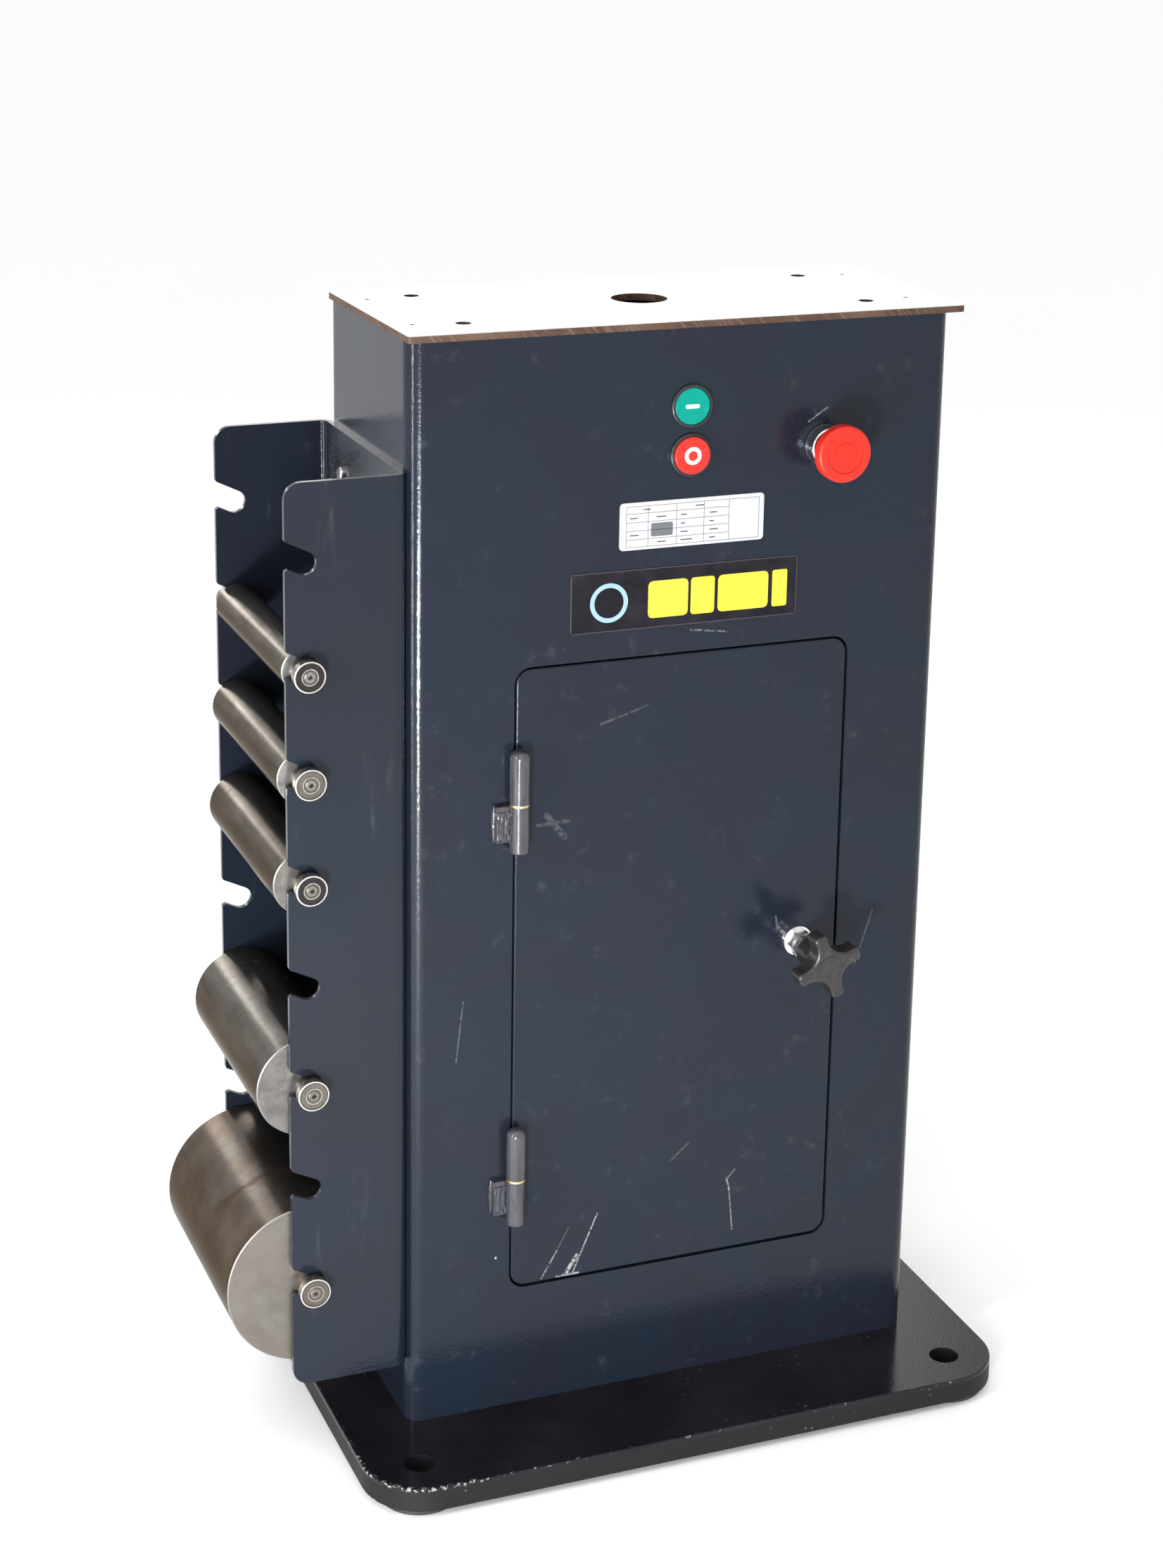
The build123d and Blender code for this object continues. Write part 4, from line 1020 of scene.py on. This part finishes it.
@dataclass
class Cabinet:
    """Bent shell with its rails, rear panel and inner parts."""

    face: float = -0.090
    gland: tuple[float, float] = (0.110, 0.113)
    seal_radius: float = 0.0050

    def dress(self, frame: dict, finishes: Finishes) -> None:
        """Coat the sheet parts and finish the hardware."""
        y = self.face
        marks = (
            Wear((-0.1342, y, 0.1424), (-0.1340, y, 0.1434), 0.0011, 0.9),
            Wear((0.0913, y, 0.7422), (0.1054, y, 0.7513), 0.0009, 0.30),
            Wear((0.145, y, 0.330), (0.158, y, 0.372), 0.0008, 0.14),
            Wear((-0.165, y, 0.300), (-0.160, y, 0.345), 0.0007, 0.16),
            Wear((0.006, y, 0.600), (0.034, y, 0.596), 0.0010, 0.22),
        )
        dress(frame, PowderCoat("shell_coat", marks=marks).make(), "cabinet_shell")
        dress(frame, finishes.coat, "rear_panel", "door_frame")
        dress(
            frame,
            finishes.screw,
            "shell_rails",
            "rear_panel_screws",
            "top_plate_screws",
            "control_lock_nuts",
        )
        dress(frame, finishes.bezel, "cable_gland")
        dress(frame, PowderCoat("shelf_coat", gloss=0.42).make(), "partition_shelf")
        dress(frame, finishes.grey, "contact_blocks", "contactor")

    def build(self, frame: dict, finishes: Finishes) -> None:
        """Model the gland's seal, the terminal screws and the door seal."""
        self._gland_seal(finishes)
        self._terminals(finishes, "contactor_screws", self._contactor_places(), 0.0029)
        self._terminals(finishes, "contact_block_screws", self._block_places(), 0.0019)
        self._door_seal(finishes)

    def _gland_seal(self, finishes: Finishes) -> None:
        """Rubber insert with a stepped mouth inside the gland's cap."""
        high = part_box("cable_gland")[1]
        x, z = self.gland
        bench = Bench("gland_seal").begin(
            bpy.ops.mesh.primitive_cylinder_add,
            vertices=48,
            radius=self.seal_radius - 0.00005,
            depth=0.016,
            location=(x, high.y - 0.0098, z),
            rotation=(math.pi / 2, 0.0, 0.0),
        )
        bench.faces(lambda c, n: abs(n.y) > 0.9).inset(0.0013)
        bench.tunnel()
        outer = high.y - 0.0018
        bench.edges(lambda a, b: min(a.y, b.y) > outer - 1e-4).bevel(0.0004, 2)
        bench.done(finishes.rubber, "black_rubber", "root")

    def _contactor_places(self) -> list[Point]:
        """Terminal screw heads of the contactor."""
        low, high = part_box("contactor")
        middle = (low.z + high.z) / 2
        face = low.y + 0.020
        return [(x, face + 0.0050, middle + side * 0.031) for x in (-0.014, 0.0, 0.014) for side in (-1, 1)]

    def _block_places(self) -> list[Point]:
        """Terminal screw heads of the contact blocks."""
        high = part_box("contact_blocks")[1]
        places = []
        for x, z in ((0.0025, 0.760), (0.0025, 0.724), (0.1037, 0.725)):
            for sx in (-0.009, 0.009):
                places += [(x + sx, high.y - 0.0019, z + sz) for sz in (-0.010, 0.010)]
        return places

    def _terminals(self, finishes: Finishes, name: str, places: list[Point], radius: float) -> None:
        """Pan-head terminal screws with a driver slot, modelled once and copied."""
        first = places[0]
        toward = -1.0 if "contactor" in name else 1.0
        bench = Bench(name).begin(
            bpy.ops.mesh.primitive_cylinder_add,
            vertices=24,
            radius=radius,
            depth=0.0020,
            location=first,
            rotation=(math.pi / 2, 0.0, 0.0),
        )
        face = first[1] + toward * 0.0010
        bench.edges(lambda a, b: abs(a.y - face) < 1e-5 and abs(b.y - face) < 1e-5).bevel(0.0004, 2)
        bench.faces(lambda c, n: n.y * toward > 0.95 and abs(c.y - face) < 1e-5).inset(radius * 0.30)
        bench.inset(radius * 0.04, -0.0007)
        scatter(bench, [tuple(Vector(p) - Vector(first)) for p in places[1:]])
        bench.done(finishes.screw, "zinc_steel", "root")

    def _door_seal(self, finishes: Finishes) -> None:
        """Foam strip on the lip that the door closes against."""
        low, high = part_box("door_panel")
        middle = ((low.x + high.x) / 2, 0.0, (low.z + high.z) / 2)
        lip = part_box("door_frame")[1].y - 0.0015
        thick = lip - high.y - 0.0002
        bench = Bench("door_seal").begin(
            bpy.ops.mesh.primitive_cube_add,
            size=1.0,
            location=(middle[0], lip - thick / 2, middle[2]),
            scale=(high.x - low.x - 0.0030, thick, high.z - low.z - 0.0030),
        )
        bench.faces(lambda c, n: abs(n.y) > 0.9)
        bpy.ops.mesh.inset(thickness=0.0065, use_boundary=True)
        bench.tunnel()
        bench.edges(lambda a, b: abs(a.y - b.y) > thick * 0.5).bevel(0.006, 5)
        bench.done(finishes.foam, "black_rubber", "root")


@dataclass
class TopPlate:
    """Head-carrying plate with brown laser-cut edges."""

    def dress(self, frame: dict, finishes: Finishes) -> None:
        """Give the plate its cut edges and machined top."""
        dress(frame, CutPlate("cut_plate").make(), "top_plate")


@dataclass
class Door:
    """Pan-shaped door on two weld-on hinges."""

    face: float = -0.090
    bead: float = 0.0017

    def dress(self, frame: dict, finishes: Finishes) -> None:
        """Coat the door with its handling marks and finish the hinges."""
        y = self.face
        marks = (
            Wear((-0.0990, y, 0.1195), (-0.0870, y, 0.1400), 0.0009, 0.38),
            Wear((-0.0870, y, 0.1400), (-0.0780, y, 0.1570), 0.0006, 0.14),
            Wear((-0.0800, y, 0.1200), (-0.0715, y, 0.1330), 0.0022, 0.62),
            Wear((-0.0745, y, 0.1200), (-0.0560, y, 0.1640), 0.0009, 0.50),
            Wear((-0.0870, y, 0.1192), (-0.0700, y, 0.1190), 0.0012, 0.55),
            Wear((0.0462, y, 0.1756), (0.0490, y, 0.1640), 0.0010, 0.42),
            Wear((0.0530, y, 0.1800), (0.0475, y, 0.1740), 0.0008, 0.30),
            Wear((0.0490, y, 0.1640), (0.0522, y, 0.1315), 0.0009, 0.26),
            Wear((-0.0995, y, 0.4758), (-0.0860, y, 0.4583), 0.0030, 0.10),
            Wear((-0.1060, y, 0.4690), (-0.0830, y, 0.4700), 0.0018, 0.10),
            Wear((0.0794, y, 0.3764), (0.0808, y, 0.3681), 0.0012, 0.16),
            Wear((0.0808, y, 0.3681), (0.0895, y, 0.3597), 0.0018, 0.22),
            Wear((0.0000, y, 0.1950), (0.0150, y, 0.2080), 0.0010, 0.12),
            Wear((-0.0600, y, 0.5380), (-0.0250, y, 0.5480), 0.0012, 0.10),
        )
        dress(frame, PowderCoat("door_coat", marks=marks).make(), "door_panel")
        dress(frame, finishes.gloss_coat, "hinge_frame_halves", "hinge_door_halves")
        dress(frame, finishes.screw, "hinge_pins")
        dress(frame, finishes.brass, "hinge_washers")

    def build(self, frame: dict, finishes: Finishes) -> None:
        """Model the lumpy painted weld beads round the hinge lugs."""
        low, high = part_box("hinge_washers")
        splits = (low.z, high.z - 0.0015)
        axis = (low.x + high.x) / 2
        left = axis - 0.016
        places = [(left - 0.0004, self.face - 0.0006, split - 0.014) for split in splits]
        self._bead("hinge_welds_frame", places, 0.0135, "root", finishes, 11)
        tips = [(axis - 0.0112, self.face - 0.0054, split - 0.0150) for split in splits]
        self._blob("hinge_weld_blobs", tips, "root", finishes)

    def _bead(
        self, name: str, places: list[Point], half: float, body: str, finishes: Finishes, seed: int
    ) -> None:
        """Upright weld bead with rippled rings, copied to each place."""
        first = places[0]
        bench = Bench(name).begin(
            bpy.ops.mesh.primitive_uv_sphere_add,
            segments=20,
            ring_count=22,
            radius=1.0,
            location=first,
            scale=(self.bead, self.bead * 1.1, half),
        )
        rings = sorted({round(v.co.z, 6) for v in bmesh.from_edit_mesh(bench.piece.data).verts})
        for number, height in enumerate(rings[1:-1]):
            swell = 1.16 if number % 2 else 0.88
            bench.points(lambda p, h=height: abs(p.z - h) < 1e-5)
            bpy.ops.transform.resize(value=(swell, swell, 1.0))
        bpy.ops.mesh.select_all(action="SELECT")
        bpy.ops.transform.vertex_random(offset=0.00025, uniform=0.0, normal=1.0, seed=seed)
        bench.modifier("SUBSURF", levels=1, render_levels=1)
        bench.points(lambda p: p.y > self.face - 0.0001)
        bpy.ops.transform.resize(value=(1.0, 0.0, 1.0), center_override=(0.0, self.face - 0.0001, 0.0))
        scatter(bench, [tuple(Vector(p) - Vector(first)) for p in places[1:]])
        bench.done(finishes.gloss_coat, "anthracite_coat", body, 60.0)

    def _blob(self, name: str, places: list[Point], body: str, finishes: Finishes) -> None:
        """Uneven thick paint and weld spatter on the face of a hinge lug."""
        first = places[0]
        bench = Bench(name).begin(
            bpy.ops.mesh.primitive_cube_add, size=1.0, location=first, scale=(0.0085, 0.0008, 0.0205)
        )
        bpy.ops.mesh.select_all(action="SELECT")
        bpy.ops.mesh.subdivide(number_cuts=7)
        bench.points(lambda p: p.y < first[1])
        bpy.ops.transform.vertex_random(offset=0.0009, uniform=0.35, normal=0.0, seed=5)
        bench.modifier("SUBSURF", levels=2, render_levels=2)
        scatter(bench, [tuple(Vector(p) - Vector(first)) for p in places[1:]])
        bench.done(finishes.gloss_coat, "anthracite_coat", body, 70.0)


@dataclass
class Latch:
    """Cross grip on a spindle through a hexagonal bush."""

    centre: tuple[float, float] = (0.097, 0.356)
    face: float = -0.145

    def dress(self, frame: dict, finishes: Finishes) -> None:
        """Finish the grip and its metal parts."""
        dress(frame, finishes.black, "star_knob")
        dress(frame, finishes.screw, "knob_spindle", "latch_tongue")
        dress(frame, finishes.nut, "spindle_bush", "spindle_nuts")

    def build(self, frame: dict, finishes: Finishes) -> None:
        """Model the plain round insert in the grip's face."""
        x, z = self.centre
        bench = Bench("grip_insert").begin(
            bpy.ops.mesh.primitive_cylinder_add,
            vertices=48,
            radius=0.0078,
            depth=0.0012,
            location=(x, self.face - 0.0001 + 0.0006, z),
            rotation=(math.pi / 2, 0.0, 0.0),
        )
        front = self.face - 0.0001
        bench.edges(lambda a, b: abs(a.y - front) < 1e-5 and abs(b.y - front) < 1e-5).bevel(0.0003, 2)
        bench.faces(lambda c, n: n.y < -0.95).inset(0.0011)
        bench.inset(0.0004, -0.0003)
        bench.done(finishes.black, "black_plastic", "latch")


@dataclass
class Controls:
    """Start and stop buttons and the emergency stop."""

    x: float = 0.0025
    start: float = 0.759
    stop: float = 0.725
    dash: tuple[float, float] = (0.0106, 0.0030)
    ring: tuple[float, float] = (0.0063, 0.0029)
    proud: float = 0.00015

    def dress(self, frame: dict, finishes: Finishes) -> None:
        """Colour the caps, bezels and the mushroom head."""
        dress(frame, finishes.bezel, "start_bezel", "stop_bezel", "estop_gasket")
        dress(frame, finishes.green, "start_cap")
        dress(frame, finishes.red, "stop_cap")
        dress(frame, finishes.mushroom, "estop_head")
        dress(frame, finishes.black, "estop_plunger")
        dress(frame, finishes.chrome, "estop_collar")
        dress(frame, finishes.spring, "start_spring", "stop_spring")

    def build(self, frame: dict, finishes: Finishes) -> None:
        """Model the dash and the ring moulded into the caps."""
        self._dash(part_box("start_cap")[0].y, finishes)
        self._ring(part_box("stop_cap")[0].y, finishes)
        self._sleeve("start", self.start, finishes)
        self._sleeve("stop", self.stop, finishes)

    def _dash(self, face: float, finishes: Finishes) -> None:
        """White rounded dash on the start cap."""
        width, height = self.dash
        depth = 0.0006
        bench = Bench("start_mark").begin(
            bpy.ops.mesh.primitive_cube_add,
            size=1.0,
            location=(self.x, face - self.proud + depth / 2, self.start),
            scale=(width, depth, height),
        )
        bench.edges(lambda a, b: abs(a.y - b.y) > depth * 0.5).bevel(height * 0.48, 6)
        front = face - self.proud
        bench.edges(lambda a, b: abs(a.y - front) < 1e-6 and abs(b.y - front) < 1e-6).bevel(0.00008, 2)
        bench.done(finishes.white, "plate_white", "start_button")

    def _ring(self, face: float, finishes: Finishes) -> None:
        """White ring on the stop cap."""
        radius, wide = self.ring
        depth = 0.0006
        bench = Bench("stop_mark").begin(
            bpy.ops.mesh.primitive_cylinder_add,
            vertices=64,
            radius=radius,
            depth=depth,
            location=(self.x, face - self.proud + depth / 2, self.stop),
            rotation=(math.pi / 2, 0.0, 0.0),
        )
        bench.faces(lambda c, n: abs(n.y) > 0.9).inset(wide)
        bench.tunnel()
        front = face - self.proud
        bench.edges(lambda a, b: abs(a.y - front) < 1e-6 and abs(b.y - front) < 1e-6).bevel(0.00008, 2)
        bench.done(finishes.white, "plate_white", "stop_button")

    def _sleeve(self, name: str, height: float, finishes: Finishes) -> None:
        """Thin satin trim ring lying on a bezel's front face."""
        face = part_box(f"{name}_bezel")[0].y
        depth = 0.0005
        bench = Bench(f"{name}_trim").begin(
            bpy.ops.mesh.primitive_cylinder_add,
            vertices=64,
            radius=0.01425,
            depth=depth,
            location=(self.x, face + depth / 2 - 0.0001, height),
            rotation=(math.pi / 2, 0.0, 0.0),
        )
        bench.faces(lambda c, n: abs(n.y) > 0.9).inset(0.00075)
        bench.tunnel()
        front = face - 0.0001
        bench.edges(lambda a, b: abs(a.y - front) < 1e-6 and abs(b.y - front) < 1e-6).bevel(0.0001, 2)
        bench.done(finishes.dark_ink, "black_plastic", "root")


@dataclass
class Plates:
    """Data plate with a blank table and name plate with plain blocks of colour."""

    data_centre: tuple[float, float] = (0.0048, 0.6777)
    data_half: tuple[float, float] = (0.0540, 0.01675)
    name_centre: tuple[float, float] = (0.0010, 0.6258)
    name_half: tuple[float, float] = (0.0850, 0.02125)
    ink: float = 0.00006
    line: float = 0.00034

    def dress(self, frame: dict, finishes: Finishes) -> None:
        """Finish both plates as printed film."""
        white = PrintedFilm(
            "data_film", (0.385, 0.39, 0.405), (0.28, 0.28, 0.29), self.data_centre, self.data_half, 0.0004
        )
        black = PrintedFilm(
            "name_film", (0.006, 0.005, 0.008), (0.055, 0.050, 0.060),
            self.name_centre, self.name_half, 0.0006, 0.34, 0.16,
        )
        dress(frame, white.make(), "data_plate")
        dress(frame, black.make(), "name_plate")

    def build(self, frame: dict, finishes: Finishes) -> None:
        """Model the printed table, its blank entries, the colour blocks and the ring."""
        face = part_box("data_plate")[0].y
        self._table(face, finishes)
        self._blocks(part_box("name_plate")[0].y, finishes)
        self._ring(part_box("name_plate")[0].y, finishes)

    def _spot(self, u: float, v: float) -> tuple[float, float]:
        """Place on the data plate from shares of its width and height, from the top left."""
        x = self.data_centre[0] + (2 * u - 1) * self.data_half[0]
        z = self.data_centre[1] + (1 - 2 * v) * self.data_half[1]
        return x, z

    def _table(self, face: float, finishes: Finishes) -> None:
        """Thin table lines with short grey dashes where entries would be."""
        columns = (0.045, 0.195, 0.390, 0.580, 0.755, 0.965)
        rows = (0.085, 0.235, 0.420, 0.600, 0.780, 0.940)
        half = self.line / 2
        spans = []
        for v in rows:
            right = columns[-1] if v in (rows[0], rows[-1]) else columns[-2]
            (x0, z), (x1, _) = self._spot(columns[0], v), self._spot(right, v)
            spans.append((x0, x1, z - half, z + half))
        for u in columns:
            (x, z0), (_, z1) = self._spot(u, rows[-1]), self._spot(u, rows[0])
            spans.append((x - half, x + half, z0, z1))
        bars("data_plate_lines", spans, face, self.ink).done(finishes.grey_ink, "plate_white", "root")
        entries = []
        for u, v, wide in (
            *((0.16, 0.16, 0.05), (0.52, 0.16, 0.06), (0.07, 0.33, 0.05)),
            *((0.25, 0.33, 0.07), (0.42, 0.33, 0.04)),
            *((0.62, 0.33, 0.05), (0.07, 0.69, 0.06), (0.42, 0.51, 0.03)),
            *((0.62, 0.51, 0.03), (0.42, 0.69, 0.05)),
            *((0.62, 0.69, 0.06), (0.26, 0.86, 0.06), (0.42, 0.86, 0.08), (0.62, 0.86, 0.04)),
        ):
            (x0, z), (x1, _) = self._spot(u, v), self._spot(u + wide, v)
            entries.append((x0, x1, z - 0.00035, z + 0.00035))
        (x0, z0), (x1, z1) = self._spot(0.215, 0.74), self._spot(0.365, 0.46)
        bars("data_plate_entries", entries, face, self.ink).done(finishes.dark_ink, "plate_white", "root")
        panel = bars("data_plate_panel", [(x0, x1, z0, z1)], face, self.ink)
        panel.done(finishes.grey_ink, "plate_white", "root")

    def _blocks(self, face: float, finishes: Finishes) -> None:
        """Four plain yellow blocks."""
        low, high = 0.6113, 0.6378
        spans = [(-0.0270, 0.0030, low, high), (0.0050, 0.0230, low, high)]
        spans += [(0.0255, 0.0640, low, high), (0.0670, 0.0785, low, high)]
        bars("name_plate_blocks", spans, face, self.ink).done(finishes.yellow_ink, "plate_black", "root")

    def _ring(self, face: float, finishes: Finishes) -> None:
        """Plain light-blue ring."""
        bench = Bench("name_plate_ring").begin(
            bpy.ops.mesh.primitive_cylinder_add,
            vertices=96,
            radius=0.0140,
            depth=0.0002,
            location=(-0.0560, face - self.ink + 0.0001, 0.6250),
            rotation=(math.pi / 2, 0.0, 0.0),
        )
        bench.faces(lambda c, n: abs(n.y) > 0.9).inset(0.0032)
        bench.tunnel()
        bench.done(finishes.blue_ink, "plate_black", "root")


@dataclass
class Rack:
    """Bent rack with hooked notches."""

    notch_x: float = -0.2714
    notch_top: float = 0.6714
    pitch: float = 0.075
    used: tuple[int, ...] = (2, 3, 4, 6, 8)

    def dress(self, frame: dict, finishes: Finishes) -> None:
        """Coat the rack, rubbed bright where the necks sit."""
        centres = tuple((self.notch_x, self.notch_top - self.pitch * (n - 1)) for n in self.used)
        dress(frame, RackCoat("rack_coat", centres).make(), "roller_rack")
        dress(frame, finishes.screw, "rack_bolts", "rack_nuts")


@dataclass
class Rollers:
    """Five contact rollers with a bearing on each end."""

    notch_x: float = -0.2714
    notch_top: float = 0.6714
    pitch: float = 0.075
    half: float = 0.0845

    def dress(self, frame: dict, finishes: Finishes) -> None:
        """Finish each roller with its own patina."""
        table = (
            (1, 2, 0.0150, Patina.BRIGHT, True),
            (2, 3, 0.0190, Patina.WORN, False),
            (3, 4, 0.0225, Patina.STRAW, True),
            (4, 6, 0.0360, Patina.GREY, False),
            (5, 8, 0.0590, Patina.BROWN, False),
        )
        for number, notch, radius, patina, sealed in table:
            centre = (self.notch_x, self.notch_top - self.pitch * (notch - 1))
            steel = TurnedSteel(f"turned_steel_{number}", centre, radius, self.half, patina).make()
            dress(frame, steel, f"roller_{number}_drum")
            dress(frame, finishes.bearing, f"roller_{number}_outer_rings", f"roller_{number}_inner_rings")
            dress(frame, finishes.seal if sealed else finishes.shield, f"roller_{number}_seals")


def main() -> Sequence[Vector]:
    """Build every sub-assembly around the frame.
    """
    logging.basicConfig(level=logging.INFO, format="%(name)s %(message)s")
    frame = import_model()
    cad_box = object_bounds()
    Studio().build()
    finishes = Finishes()
    for part in (Foot(), Cabinet(), TopPlate(), Door(), Latch(), Controls(), Plates(), Rack(), Rollers()):
        part.dress(frame, finishes)
        if hasattr(part, "build"):
            part.build(frame, finishes)
    return cad_box


if __name__ == "__main__":
    before = main()
